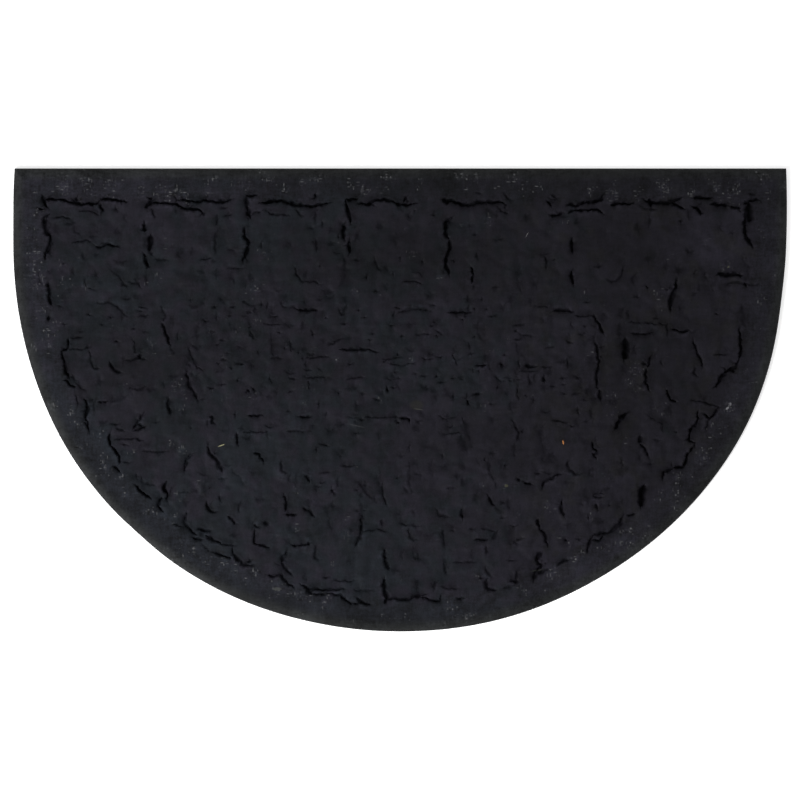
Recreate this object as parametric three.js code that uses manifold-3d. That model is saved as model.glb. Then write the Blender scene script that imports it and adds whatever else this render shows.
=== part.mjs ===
// Half-round doormat pressed from rubber crumb, lying flat with its straight edge towards +Y.
// Millimetres, +Z up. The origin is under the middle of the mat, on the surface that it lies on.
import * as THREE from 'three';
import { mergeVertices } from 'three/addons/utils/BufferGeometryUtils.js';
import Module from 'manifold-3d';

// The mat's plan: a straight edge, two short straight sides, and one full round edge
const MAT_WIDTH = 750;
const MAT_DEPTH = 449;
const SIDE_LENGTH = 72; // from the straight edge to the shoulder, where the round edge begins
const CORNER_DRAW_IN = 1.2; // how far each corner stands inside the widest line
const ROUND_POWER = 2.065; // 2 is a plain ellipse, and more is squarer
const ROUND_STEPS = 76;

// The mat's section
const MAT_THICKNESS = 8;
const RIM_REACH = 9; // how far in from the edge the top is rounded down
const RIM_DROP = 4.6;
const RIM_STEPS = 3;

// The pressed field inside the flat border band
const BORDER_WIDTH = 34;
const FIELD_BLEND = 22; // over this width the field's dips fade out towards the border
const FIELD_DIP = 1.1; // the deepest dip
const FIELD_COLUMNS = 44;
const FIELD_ROWS = 28;
const FIELD_MARGIN = 10; // the field's block stands out past the mat by this much, so that it cuts clean

// The splits where the pressed rubber has torn open
const WIDE_DEEP = 3.2;
const NARROW_DEEP = 2.2;
const NARROW_UNDER = 2.6; // a split under this width is a narrow one
const SPLIT_OVERLAP = 0.9; // each straight run passes the bend that it ends on by this much
const SPLIT_STRAY = 0.35; // how unevenly a run widens, as a share of its width

const RUBBER = { color: 0x2b2b2f, roughness: 0.86, metalness: 0 };

// Where the round edge strays from its curve: degrees from the right shoulder round to the left one,
// half the length of the stretch in degrees, and millimetres inwards
const EDGE_DENTS = [
  { at: 8, half: 7, inward: 1.8 },
  { at: 27, half: 6, inward: -0.5 },
  { at: 59, half: 14, inward: 2.1 },
  { at: 102, half: 12, inward: 0.6 },
  { at: 132, half: 4, inward: 0.9 },
  { at: 149, half: 8, inward: -0.6 },
];

// Each split is a row: its width, and the bends that it runs through, x to the right and y to the straight edge.
// Along the straight edge, from left to right
const EDGE_SPLITS = [
  { wide: 3.4, bends: [[-342, 186], [-346, 197], [-317, 192], [-293, 190], [-289, 194], [-267, 192]] },
  { wide: 2.6, bends: [[-289, 194], [-288, 184]] },
  { wide: 3.6, bends: [[-247, 185], [-242, 195], [-218, 192], [-177, 191], [-172, 193]] },
  { wide: 2.4, bends: [[-216, 190], [-201, 186], [-190, 180]] },
  { wide: 3.0, bends: [[-136, 191], [-118, 193], [-94, 188], [-70, 191]] },
  { wide: 2.2, bends: [[-130, 185], [-123, 180], [-109, 180]] },
  { wide: 3.0, bends: [[-43, 191], [-21, 193], [1, 189], [15, 190]] },
  { wide: 3.4, bends: [[41, 195], [60, 189], [72, 189], [80, 192], [96, 192], [105, 189]] },
  { wide: 3.0, bends: [[141, 191], [154, 195]] },
  { wide: 3.6, bends: [[163, 187], [180, 192], [193, 191], [196, 196]] },
  { wide: 2.2, bends: [[163, 182], [180, 184], [196, 182]] },
  { wide: 3.4, bends: [[204, 190], [241, 192], [264, 191], [274, 186]] },
  { wide: 3.2, bends: [[285, 197], [304, 196]] },
  { wide: 3.0, bends: [[304, 191], [330, 186]] },
  { wide: 3.0, bends: [[331, 191], [348, 193]] },
];

// Down both sides, a border's width in from the edge
const SIDE_SPLITS = [
  { wide: 4.2, bends: [[-342, 179], [-344, 169], [-338, 155], [-342, 144], [-345, 137]] },
  { wide: 3.4, bends: [[-343, 115], [-338, 93]] },
  { wide: 2.8, bends: [[-324, 62], [-320, 61], [-321, 50], [-328, 46], [-325, 38], [-321, 20]] },
  { wide: 2.2, bends: [[-320, 49], [-307, 49]] },
  { wide: 2.6, bends: [[-307, 2], [-302, -7], [-304, -16], [-303, -26]] },
  { wide: 3.6, bends: [[-280, -32], [-281, -40], [-271, -61]] },
  { wide: 2.4, bends: [[-277, -37], [-258, -37]] },
  { wide: 3.4, bends: [[-256, -82], [-251, -90], [-241, -95]] },
  { wide: 4.0, bends: [[-226, -82], [-225, -93], [-231, -108]] },
  { wide: 6.4, bends: [[337, 190], [337, 182]] },
  { wide: 4.0, bends: [[337, 183], [335, 174], [336, 162], [340, 152]] },
  { wide: 4.0, bends: [[308, 121], [331, 121]] },
  { wide: 2.4, bends: [[315, 113], [336, 113]] },
  { wide: 3.2, bends: [[329, 67], [331, 51], [327, 37], [321, 27], [315, 29], [305, 12]] },
  { wide: 3.0, bends: [[309, -8], [301, -19], [295, -13]] },
  { wide: 3.8, bends: [[289, -12], [288, -22], [279, -41]] },
  { wide: 4.0, bends: [[286, -42], [271, -66], [264, -66], [255, -76]] },
];

// Round the lower edge, from left to right
const ROUND_SPLITS = [
  { wide: 2.8, bends: [[-207, -110], [-208, -120], [-198, -129], [-184, -128]] },
  { wide: 2.8, bends: [[-187, -132], [-174, -139]] },
  { wide: 2.6, bends: [[-190, -142], [-161, -152]] },
  { wide: 3.0, bends: [[-161, -144], [-160, -151], [-151, -160], [-143, -161]] },
  { wide: 3.2, bends: [[-128, -169], [-116, -170], [-112, -177], [-103, -182]] },
  { wide: 4.4, bends: [[-96, -180], [-86, -185], [-54, -182]] },
  { wide: 2.8, bends: [[-68, -188], [-57, -189], [-50, -194]] },
  { wide: 3.0, bends: [[-42, -191], [-39, -196], [-29, -198]] },
  { wide: 3.4, bends: [[-15, -146], [-15, -156], [-9, -163]] },
  { wide: 3.6, bends: [[-16, -174], [-14, -193], [10, -194], [13, -188], [27, -188]] },
  { wide: 2.8, bends: [[23, -193], [34, -196], [40, -194]] },
  { wide: 3.2, bends: [[84, -173], [85, -184], [92, -185]] },
  { wide: 2.8, bends: [[101, -181], [114, -179]] },
  { wide: 4.0, bends: [[138, -148], [131, -158]] },
  { wide: 3.2, bends: [[146, -163], [132, -167], [129, -176]] },
  { wide: 3.4, bends: [[227, -110], [217, -112], [213, -121], [203, -129], [187, -130], [181, -146]] },
  { wide: 5.6, bends: [[236, -84], [232, -104]] },
];

// Lines that cross the field from the straight edge down, and the arch inside it
const FIELD_SPLITS = [
  { wide: 2.8, bends: [[-248, 171], [-247, 162]] },
  { wide: 5.0, bends: [[-242, 159], [-242, 148]] },
  { wide: 3.0, bends: [[-246, 143], [-248, 139], [-245, 129]] },
  { wide: 3.2, bends: [[-139, 197], [-149, 197], [-146, 181], [-150, 169], [-147, 153], [-152, 134]] },
  { wide: 2.8, bends: [[-42, 196], [-52, 193], [-48, 172]] },
  { wide: 3.0, bends: [[-55, 169], [-54, 157]] },
  { wide: 2.6, bends: [[-48, 155], [-49, 143]] },
  { wide: 3.6, bends: [[51, 177], [44, 172], [43, 160], [47, 155], [44, 131], [47, 122]] },
  { wide: 2.4, bends: [[166, 154], [167, 143]] },
  { wide: 3.6, bends: [[267, 115], [263, 103], [263, 87]] },
  { wide: 2.6, bends: [[-289, 94], [-277, 93], [-265, 78]] },
  { wide: 3.0, bends: [[-227, 80], [-230, 76], [-223, 54]] },
  { wide: 2.4, bends: [[-206, 51], [-203, 39], [-190, 30]] },
  { wide: 3.0, bends: [[-206, 27], [-197, -2]] },
  { wide: 3.8, bends: [[-224, 3], [-223, -13]] },
  { wide: 3.6, bends: [[-185, -44], [-173, -70]] },
  { wide: 3.0, bends: [[148, 86], [167, 84]] },
  { wide: 3.0, bends: [[180, 81], [187, 81], [197, 63]] },
  { wide: 3.6, bends: [[188, 60], [191, 47], [191, 15], [194, 1]] },
  { wide: 5.6, bends: [[218, 56], [218, 39]] },
  { wide: 3.0, bends: [[242, 38], [238, 33], [238, 20], [241, 10]] },
  { wide: 3.8, bends: [[220, -14], [208, -30]] },
  { wide: 2.8, bends: [[285, 58], [293, 38]] },
  { wide: 3.0, bends: [[234, -35], [233, -44], [239, -53]] },
  { wide: 3.0, bends: [[-112, -92], [-110, -97], [-112, -106], [-110, -111], [-101, -111]] },
  { wide: 2.8, bends: [[-39, -108], [-37, -121], [-43, -143]] },
  { wide: 2.6, bends: [[-141, -127], [-140, -139], [-127, -143]] },
  { wide: 4.0, bends: [[42, -123], [42, -143]] },
  { wide: 2.8, bends: [[133, -116], [135, -127], [142, -136]] },
  { wide: 2.8, bends: [[138, -83], [144, -77], [155, -72]] },
];

const HALF_WIDTH = MAT_WIDTH / 2;
const STRAIGHT_EDGE_Y = MAT_DEPTH / 2;
const SHOULDER_Y = STRAIGHT_EDGE_Y - SIDE_LENGTH;
const ROUND_DROP = MAT_DEPTH - SIDE_LENGTH; // from the shoulders to the lowest point

const wasm = await Module();
wasm.setup();

// A closed three.js geometry as a solid that can be joined and cut.
function solidOf(geometry) {
  const bare = geometry.clone();
  bare.deleteAttribute('normal');
  bare.deleteAttribute('uv');
  const merged = mergeVertices(bare, 1e-4);
  return new wasm.Manifold(new wasm.Mesh({
    numProp: 3,
    vertProperties: merged.attributes.position.array,
    triVerts: new Uint32Array(merged.index.array),
  }));
}

// A joined and cut solid as a three.js geometry.
function geometryOf(solid) {
  const { vertProperties, triVerts } = solid.getMesh();
  const geometry = new THREE.BufferGeometry();
  geometry.setAttribute('position', new THREE.BufferAttribute(vertProperties, 3));
  geometry.setIndex(new THREE.BufferAttribute(triVerts, 1));
  geometry.computeVertexNormals();
  return geometry;
}

// The even curve's distance from the middle of the shoulder line, at an angle in radians round the lower edge.
function evenRadius(angle) {
  const across = Math.abs(Math.cos(angle)) / HALF_WIDTH;
  const down = Math.abs(Math.sin(angle)) / ROUND_DROP;
  return (across ** ROUND_POWER + down ** ROUND_POWER) ** (-1 / ROUND_POWER);
}

// How far the real edge lies inside the even curve at that angle.
function dentAt(angle) {
  const degrees = THREE.MathUtils.radToDeg(angle);
  return EDGE_DENTS.reduce((sum, { at, half, inward }) => sum + inward * Math.exp(-(((degrees - at) / half) ** 2)), 0);
}

// The mat seen from above, anticlockwise from its right corner.
function matOutline() {
  const corner = HALF_WIDTH - CORNER_DRAW_IN;
  const outline = new THREE.Shape();
  outline.moveTo(corner, STRAIGHT_EDGE_Y);
  outline.lineTo(-corner, STRAIGHT_EDGE_Y);
  for (let step = ROUND_STEPS; step >= 0; step -= 1) {
    const angle = (Math.PI * step) / ROUND_STEPS;
    const radius = evenRadius(angle) - dentAt(angle);
    outline.lineTo(radius * Math.cos(angle), SHOULDER_Y - radius * Math.sin(angle));
  }
  outline.closePath();
  return outline;
}

// How far a point lies inside the mat's edge, near enough for the width of the border.
function insideBy(x, y) {
  const fromStraightEdge = STRAIGHT_EDGE_Y - y;
  if (y > SHOULDER_Y) return Math.min(fromStraightEdge, HALF_WIDTH - Math.abs(x));
  const angle = Math.atan2(SHOULDER_Y - y, x);
  return Math.min(fromStraightEdge, evenRadius(angle) - Math.hypot(x, SHOULDER_Y - y));
}

// How far the field's face lies below the border at a point: broad soft dips that fade out at the border.
function dipAt(x, y) {
  const share = THREE.MathUtils.smoothstep(insideBy(x, y), BORDER_WIDTH, BORDER_WIDTH + FIELD_BLEND);
  const across = Math.sin(x / 16 + 1.4 * Math.sin(y / 27));
  const along = Math.sin(y / 14 + 1.2 * Math.sin(x / 33));
  const slant = Math.sin((x - 1.6 * y) / 23);
  return FIELD_DIP * share * (0.5 + 0.22 * across + 0.18 * along + 0.1 * slant);
}

// The mat's whole thickness with its rounded rim. Its lower half reaches under z = 0, where the field's block cuts it off.
function roundedSlab() {
  const slab = new THREE.ExtrudeGeometry(matOutline(), {
    depth: MAT_THICKNESS,
    bevelThickness: RIM_DROP,
    bevelSize: RIM_REACH,
    bevelOffset: -RIM_REACH,
    bevelSegments: RIM_STEPS,
  });
  slab.translate(0, 0, -RIM_DROP);
  return solidOf(slab);
}

// A block with a flat underside at z = 0 and the field's uneven face on top.
function fieldBlock() {
  const block = new THREE.BoxGeometry(
    MAT_WIDTH + 2 * FIELD_MARGIN, MAT_DEPTH + 2 * FIELD_MARGIN, MAT_THICKNESS, FIELD_COLUMNS, FIELD_ROWS, 1);
  block.translate(0, 0, MAT_THICKNESS / 2);
  const places = block.attributes.position;
  for (let i = 0; i < places.count; i += 1) {
    if (places.getZ(i) > MAT_THICKNESS / 2) {
      places.setZ(i, MAT_THICKNESS - dipAt(places.getX(i), places.getY(i)));
    }
  }
  return solidOf(block);
}

// One straight run of a split: a long six-sided opening with pointed ends, cut down to its depth.
function splitRun([fromX, fromY], [toX, toY], wide, turn) {
  const length = Math.hypot(toX - fromX, toY - fromY) + 2 * SPLIT_OVERLAP;
  const heavy = 0.5 * wide * (1 + SPLIT_STRAY * Math.sin(7 * turn));
  const light = 0.5 * wide * (1 - SPLIT_STRAY * Math.sin(7 * turn));
  const opening = new THREE.Shape([
    new THREE.Vector2(-length / 2, 0),
    new THREE.Vector2(-length / 4, -heavy),
    new THREE.Vector2(length / 3.2, -light),
    new THREE.Vector2(length / 2, 0),
    new THREE.Vector2(length / 4.2, heavy),
    new THREE.Vector2(-length / 3, light),
  ]);
  const deep = wide < NARROW_UNDER ? NARROW_DEEP : WIDE_DEEP;
  const run = new THREE.ExtrudeGeometry(opening, { depth: 2 * deep, bevelEnabled: false });
  run.rotateZ(Math.atan2(toY - fromY, toX - fromX));
  run.translate((fromX + toX) / 2, (fromY + toY) / 2, MAT_THICKNESS - deep);
  return solidOf(run);
}

// All runs of all splits as one cutter.
function splitCutter(splits) {
  const runs = splits.flatMap(({ wide, bends }, row) => bends.slice(1).map(
    (bend, i) => splitRun(bends[i], bend, wide, row + i)));
  return wasm.Manifold.union(runs);
}

function rubberMat() {
  const cracks = splitCutter([...EDGE_SPLITS, ...SIDE_SPLITS, ...ROUND_SPLITS, ...FIELD_SPLITS]);
  const body = roundedSlab().intersect(fieldBlock()).subtract(cracks);
  const mat = new THREE.Mesh(geometryOf(body), new THREE.MeshStandardMaterial({ ...RUBBER, flatShading: true }));
  mat.name = 'mat';
  return mat;
}

const doormat = new THREE.Group();
doormat.add(rubberMat());

export default doormat;
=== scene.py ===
"""A half-round doormat pressed from rubber crumb, lying on a pale floor and seen from straight above."""
import logging
import math
from dataclasses import dataclass, field
from enum import Enum
from typing import Any, NamedTuple, Sequence

import bpy
import numpy as np
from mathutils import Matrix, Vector
from mathutils.geometry import delaunay_2d_cdt


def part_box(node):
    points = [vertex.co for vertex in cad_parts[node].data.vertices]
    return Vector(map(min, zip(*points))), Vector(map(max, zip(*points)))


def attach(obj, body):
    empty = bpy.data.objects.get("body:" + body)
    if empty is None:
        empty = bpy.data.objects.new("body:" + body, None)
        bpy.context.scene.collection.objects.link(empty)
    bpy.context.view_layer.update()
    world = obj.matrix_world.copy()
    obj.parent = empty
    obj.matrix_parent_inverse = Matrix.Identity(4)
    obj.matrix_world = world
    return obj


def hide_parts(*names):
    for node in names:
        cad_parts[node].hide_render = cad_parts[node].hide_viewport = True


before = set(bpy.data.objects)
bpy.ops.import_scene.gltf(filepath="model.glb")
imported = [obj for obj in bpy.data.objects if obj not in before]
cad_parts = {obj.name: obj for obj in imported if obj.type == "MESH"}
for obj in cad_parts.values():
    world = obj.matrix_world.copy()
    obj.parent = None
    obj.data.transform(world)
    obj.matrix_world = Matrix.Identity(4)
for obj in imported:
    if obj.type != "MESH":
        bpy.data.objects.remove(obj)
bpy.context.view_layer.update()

MAT_NODE = "mat"
MILLIMETRE = 0.001
GOLDEN_SHARE = 0.618  # its multiples, less their whole part, spread evenly from 0 to 1
WIDEST_LEVEL = 0.4  # where the outline that the camera sees lies, as a share of the thickness

log = logging.getLogger("doormat")

Array = np.ndarray
Socket = bpy.types.NodeSocket
Bend = tuple[float, float]
Colour = tuple[float, float, float, float]
Step = tuple[float, float]


class SplitKind(Enum):
    """How a split in the pressed face looks."""

    TORN = "torn open, with a dark floor"
    PARTED = "parted, with a floor that is less deep and dark"
    CREASE = "pressed nearly shut"
    DENT = "a soft trough"


@dataclass(frozen=True)
class SplitSection:
    """The cross-section that goes with a kind of split, in millimetres.

    Attributes:
        deep: depth of the floor under the face.
        slope: how far the face sinks towards the split on its low side.
        lip: how far the other side is pushed up.
        reach: how far both run out.
        dark: how dark the floor is painted, as painted shade, from 0 to 1.
        soft: how soft the dark floor's border is, as a share of its width.
        shade: how dark the painted shade on the low side beside it is, from 0 to 1.
    """

    deep: float
    slope: float
    lip: float
    reach: float
    dark: float
    soft: float
    shade: float


SECTIONS = {
    SplitKind.TORN: SplitSection(
        deep=3.0, slope=0.7, lip=0.15, reach=5.0, dark=1.0, soft=0.5, shade=0.48),
    SplitKind.PARTED: SplitSection(
        deep=2.2, slope=0.6, lip=0.12, reach=5.0, dark=0.84, soft=0.55, shade=0.40),
    SplitKind.CREASE: SplitSection(
        deep=0.8, slope=0.35, lip=0.05, reach=4.0, dark=0.72, soft=0.6, shade=0.30),
    SplitKind.DENT: SplitSection(
        deep=0.3, slope=0.4, lip=0.05, reach=5.0, dark=0.46, soft=0.85, shade=0.32),
}


@dataclass(frozen=True)
class Split:
    """One split in the face, in millimetres from the mat's middle.

    Attributes:
        kind: how it looks.
        wide: its widest opening.
        bends: the places that it runs through, x to the right and y to the straight edge.
    """

    kind: SplitKind
    wide: float
    bends: tuple[Bend, ...]


def torn(wide: float, *bends: Bend) -> Split:
    """A split that is torn open."""
    return Split(SplitKind.TORN, wide, bends)


def parted(wide: float, *bends: Bend) -> Split:
    """A split that is less deep and dark."""
    return Split(SplitKind.PARTED, wide, bends)


def crease(wide: float, *bends: Bend) -> Split:
    """A split that is pressed nearly shut."""
    return Split(SplitKind.CREASE, wide, bends)


def dent(wide: float, *bends: Bend) -> Split:
    """A soft trough."""
    return Split(SplitKind.DENT, wide, bends)


# Each row of these tables is a split: its widest opening, then its bends
# Along the straight edge
STRAIGHT_EDGE_SPLITS = (
    torn(4.0, (-346, 198), (-344, 193), (-341, 186)),
    torn(2.8, (-345, 194), (-336, 195), (-327, 194), (-317, 191), (-307, 190), (-293, 190), (-290, 194)),
    torn(3.4, (-317, 190), (-312, 196)),
    crease(1.6, (-341, 196), (-336, 199)),
    torn(3.6, (-291, 190), (-287, 183)),
    torn(2.4, (-290, 194), (-285, 195), (-278, 194), (-272, 193), (-264, 192)),
    crease(2.2, (-275, 187), (-274, 183)),
    torn(2.0, (-350, 185), (-346, 184)),
    crease(1.4, (-310, 183), (-301, 183), (-291, 179)),
    torn(3.8, (-244, 196), (-238, 194), (-243, 191), (-247, 185)),
    torn(3.2, (-243, 191), (-233, 191), (-218, 190), (-208, 186), (-196, 185), (-190, 179)),
    torn(2.6, (-218, 191), (-216, 194), (-207, 193), (-197, 192), (-188, 194), (-178, 191), (-162, 194)),
    torn(4.2, (-175, 194), (-170, 191)),
    crease(2.2, (-241, 186), (-237, 176)),
    torn(2.8, (-149, 198), (-139, 198)),
    torn(3.4, (-136, 190), (-125, 192), (-113, 193), (-104, 190), (-98, 189), (-87, 188), (-78, 189),
         (-68, 191)),
    torn(4.6, (-107, 192), (-99, 188)),
    crease(2.6, (-130, 185), (-125, 180), (-112, 180), (-108, 179)),
    crease(2.2, (-101, 186), (-96, 179)),
    torn(2.6, (-82, 200), (-82, 195)),
    crease(2.4, (-82, 183), (-82, 174)),
    torn(2.8, (-52, 194), (-41, 195)),
    torn(3.0, (-41, 190), (-31, 190), (-23, 193), (-16, 194), (-10, 193), (-3, 190), (5, 189), (15, 190)),
    torn(2.6, (3, 192), (7, 197)),
    torn(3.4, (40, 194), (45, 194), (53, 192), (61, 189), (71, 189), (76, 191), (87, 192), (97, 192),
         (103, 189)),
    torn(4.4, (41, 194), (48, 192)),
    crease(2.4, (100, 200), (106, 194)),
    crease(2.6, (94, 186), (98, 183), (105, 180)),
    crease(2.0, (74, 200), (79, 200)),
    torn(3.6, (142, 192), (146, 187)),
    crease(1.8, (144, 195), (153, 194), (146, 199)),
    torn(4.0, (163, 189), (170, 188), (176, 190), (179, 192)),
    torn(3.4, (179, 192), (192, 193), (195, 194), (197, 199)),
    torn(2.6, (146, 178), (155, 180), (159, 181)),
    torn(2.8, (163, 181), (168, 184), (179, 184), (191, 184), (197, 181)),
    torn(2.2, (204, 189), (213, 190), (225, 190)),
    torn(3.4, (236, 194), (242, 192), (247, 191), (262, 192), (268, 194), (273, 196)),
    torn(4.4, (241, 195), (243, 187)),
    torn(3.0, (263, 191), (275, 186)),
    torn(4.2, (284, 196), (291, 196), (302, 196)),
    torn(3.2, (283, 186), (288, 185), (292, 179)),
    crease(2.0, (288, 185), (291, 190)),
    torn(3.4, (302, 190), (312, 189), (318, 190)),
    torn(2.6, (320, 187), (330, 186)),
    torn(3.2, (348, 194), (339, 192), (333, 190)),
    crease(2.4, (339, 199), (344, 200)),
)

# Down both sides
SIDE_SPLITS = (
    torn(4.6, (-340, 180), (-344, 175), (-343, 163), (-338, 159), (-339, 150), (-344, 137)),
    crease(1.8, (-335, 176), (-327, 178), (-319, 176)),
    crease(2.4, (-349, 120), (-347, 113)),
    torn(3.6, (-341, 115), (-340, 105), (-339, 95), (-337, 92)),
    dent(3.0, (-341, 126), (-339, 121)),
    crease(1.6, (-331, 92), (-327, 90)),
    torn(2.6, (-340, 82), (-341, 77)),
    crease(1.8, (-319, 60), (-309, 60)),
    torn(2.0, (-321, 60), (-321, 52), (-328, 47)),
    torn(2.8, (-328, 47), (-325, 37), (-323, 26), (-320, 21)),
    crease(1.6, (-320, 49), (-306, 49)),
    crease(2.6, (-317, 25), (-314, 18), (-307, 10)),
    torn(2.0, (-325, 20), (-317, 13), (-314, 13)),
    crease(2.0, (-314, 6), (-312, -5)),
    torn(2.8, (-306, 2), (-302, -8), (-305, -16), (-302, -26)),
    torn(2.4, (-306, -21), (-302, -26), (-301, -30)),
    torn(2.8, (-280, -32), (-282, -39), (-281, -44), (-276, -48), (-272, -54), (-272, -61)),
    torn(2.2, (-277, -64), (-271, -70)),
    crease(1.8, (-275, -38), (-257, -37), (-249, -40)),
    torn(2.8, (-256, -82), (-251, -89), (-241, -95)),
    crease(2.8, (-251, -75), (-247, -81), (-239, -82)),
    torn(3.2, (-226, -79), (-229, -86), (-225, -91), (-226, -97)),
    crease(3.0, (-220, -84), (-224, -92)),
    torn(3.2, (-231, -94), (-234, -102), (-230, -108)),
    torn(8.0, (338, 191), (338, 172)),
    torn(4.6, (336, 184), (334, 172), (334, 162), (338, 153), (342, 148)),
    dent(4.0, (335, 140), (335, 134), (337, 128), (335, 113)),
    torn(4.0, (334, 114), (336, 110)),
    torn(4.8, (307, 122), (317, 121), (332, 121)),
    crease(2.2, (315, 112), (323, 114), (333, 113), (350, 111)),
    torn(3.2, (328, 68), (330, 58), (330, 43), (328, 39)),
    torn(3.4, (328, 39), (324, 32), (315, 27), (305, 12)),
    torn(3.4, (318, 30), (324, 27)),
    dent(6.0, (332, 92), (333, 72)),
    crease(2.0, (281, 0), (288, -1), (301, -4), (310, -7)),
    torn(2.4, (309, -8), (300, -18), (294, -13)),
    torn(2.8, (288, -11), (288, -21), (281, -29), (280, -39), (286, -42)),
    torn(2.8, (286, -42), (278, -55), (274, -65), (265, -66)),
    torn(2.6, (265, -66), (255, -70), (254, -76)),
    crease(2.4, (299, -19), (296, -29)),
    crease(2.0, (263, -60), (264, -65)),
)

# Along the round edge
ROUND_EDGE_SPLITS = (
    parted(3.6, (-207, -108), (-209, -118), (-204, -125), (-197, -131)),
    crease(1.8, (-220, -120), (-209, -124)),
    parted(2.6, (-197, -125), (-183, -127)),
    parted(2.6, (-201, -133), (-191, -135)),
    parted(3.6, (-188, -131), (-173, -140)),
    crease(1.4, (-173, -140), (-160, -141)),
    crease(2.8, (-190, -141), (-184, -146)),
    parted(2.2, (-180, -148), (-163, -153)),
    parted(3.6, (-162, -142), (-161, -150), (-152, -159), (-144, -161)),
    parted(2.2, (-148, -157), (-144, -155)),
    parted(3.4, (-128, -169), (-123, -171), (-115, -169), (-112, -175), (-103, -181)),
    parted(3.8, (-110, -146), (-115, -157)),
    parted(3.4, (-115, -157), (-105, -170)),
    parted(3.2, (-96, -179), (-89, -183), (-75, -184), (-53, -183)),
    torn(5.0, (-89, -182), (-86, -188)),
    parted(2.4, (-86, -188), (-70, -188), (-58, -188), (-54, -192), (-47, -197), (-37, -197)),
    parted(3.8, (-58, -192), (-52, -193)),
    parted(3.4, (-42, -191), (-36, -197), (-28, -198)),
    crease(1.6, (-44, -184), (-28, -184)),
    crease(1.8, (-65, -175), (-45, -175)),
    parted(4.0, (-15, -144), (-15, -155), (-10, -165)),
    dent(7.0, (-9, -162), (-3, -165)),
    torn(4.6, (-15, -173), (-15, -184), (-13, -192), (-15, -197)),
    parted(3.2, (-13, -193), (-5, -192), (10, -193), (13, -190), (26, -188)),
    parted(3.6, (21, -191), (32, -194), (39, -195), (39, -191)),
    crease(2.6, (33, -183), (34, -176), (36, -175)),
    crease(2.2, (42, -182), (56, -183)),
    parted(3.2, (56, -192), (61, -192)),
    crease(2.8, (83, -163), (88, -171)),
    parted(4.0, (84, -173), (85, -182), (93, -185)),
    crease(2.4, (100, -182), (110, -180)),
    parted(3.4, (106, -175), (115, -176)),
    crease(2.8, (113, -165), (112, -175)),
    torn(3.8, (138, -147), (132, -155), (138, -160), (132, -166)),
    parted(4.4, (129, -175), (132, -167), (142, -165)),
    parted(4.2, (153, -159), (156, -157), (163, -155)),
    parted(2.6, (220, -112), (228, -110)),
    parted(3.6, (216, -112), (213, -120), (204, -128), (197, -129), (187, -130)),
    parted(4.0, (187, -131), (183, -137), (181, -147)),
    parted(2.6, (186, -135), (194, -137), (196, -131)),
    torn(7.0, (237, -82), (234, -91), (235, -97), (233, -104)),
)

# In the upper part of the field
UPPER_FIELD_SPLITS = (
    torn(3.4, (-248, 171), (-247, 163)),
    torn(5.0, (-242, 160), (-241, 152), (-243, 144)),
    torn(3.4, (-248, 142), (-247, 136), (-243, 129)),
    dent(5.0, (-245, 126), (-246, 113)),
    crease(2.6, (-176, 180), (-178, 170)),
    crease(3.4, (-178, 163), (-179, 144)),
    dent(7.0, (-178, 126), (-178, 119)),
    torn(3.8, (-148, 198), (-147, 186), (-145, 176)),
    torn(3.6, (-151, 168), (-150, 158), (-146, 153), (-148, 145), (-152, 134)),
    dent(5.0, (-146, 123), (-145, 115)),
    crease(1.6, (-145, 178), (-141, 182), (-133, 183)),
    crease(3.0, (-82, 155), (-80, 144)),
    torn(4.0, (-53, 194), (-51, 187), (-49, 179), (-48, 171)),
    torn(3.8, (-54, 170), (-54, 155)),
    torn(3.0, (-49, 155), (-49, 142)),
    dent(4.4, (-55, 142), (-53, 120), (-58, 110)),
    crease(1.8, (-45, 136), (-39, 136)),
    torn(4.4, (51, 177), (44, 173), (44, 162), (47, 155)),
    torn(3.6, (48, 155), (48, 147), (45, 140), (44, 132), (48, 121)),
    crease(2.0, (51, 135), (54, 135)),
    crease(2.6, (74, 142), (75, 137)),
    torn(3.2, (68, 129), (71, 121), (69, 113)),
    dent(3.2, (116, 129), (115, 120), (117, 105)),
    crease(2.8, (141, 140), (142, 127)),
    torn(3.0, (166, 155), (166, 149), (167, 143)),
    torn(3.0, (166, 126), (167, 112)),
    torn(4.4, (267, 115), (268, 111), (263, 100), (262, 86)),
    crease(2.6, (259, 73), (259, 65)),
    dent(6.0, (241, 140), (241, 134)),
    dent(5.0, (278, 147), (279, 142)),
    dent(6.0, (270, 129), (270, 122)),
    crease(2.2, (242, 177), (242, 168)),
    dent(2.6, (-315, 170), (-315, 163), (-310, 160)),
    crease(2.6, (-316, 153), (-302, 155), (-298, 152)),
    parted(2.4, (-295, 149), (-291, 148), (-283, 151), (-275, 149)),
    dent(3.0, (-280, 126), (-272, 120), (-265, 110)),
    crease(3.6, (-270, 114), (-264, 109)),
    crease(2.2, (-262, 114), (-254, 113), (-251, 109)),
    crease(3.0, (-305, 115), (-304, 110)),
    dent(4.0, (-296, 124), (-293, 120)),
    crease(1.8, (-237, 136), (-226, 136)),
    crease(1.8, (-194, 136), (-184, 137)),
    crease(1.6, (-170, 178), (-163, 179)),
    crease(1.4, (-167, 128), (-154, 128)),
    dent(2.6, (-201, 149), (-202, 142)),
    crease(2.8, (-102, 129), (-100, 121), (-95, 115), (-81, 115), (-78, 112)),
    crease(2.6, (-24, 136), (-22, 129), (-19, 125)),
    crease(1.8, (3, 115), (13, 115), (21, 112)),
    dent(2.2, (11, 124), (18, 123), (22, 119)),
    crease(2.6, (202, 115), (210, 115), (214, 120), (217, 128)),
    crease(1.8, (238, 111), (240, 107)),
    crease(2.0, (258, 107), (260, 107)),
)

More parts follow.
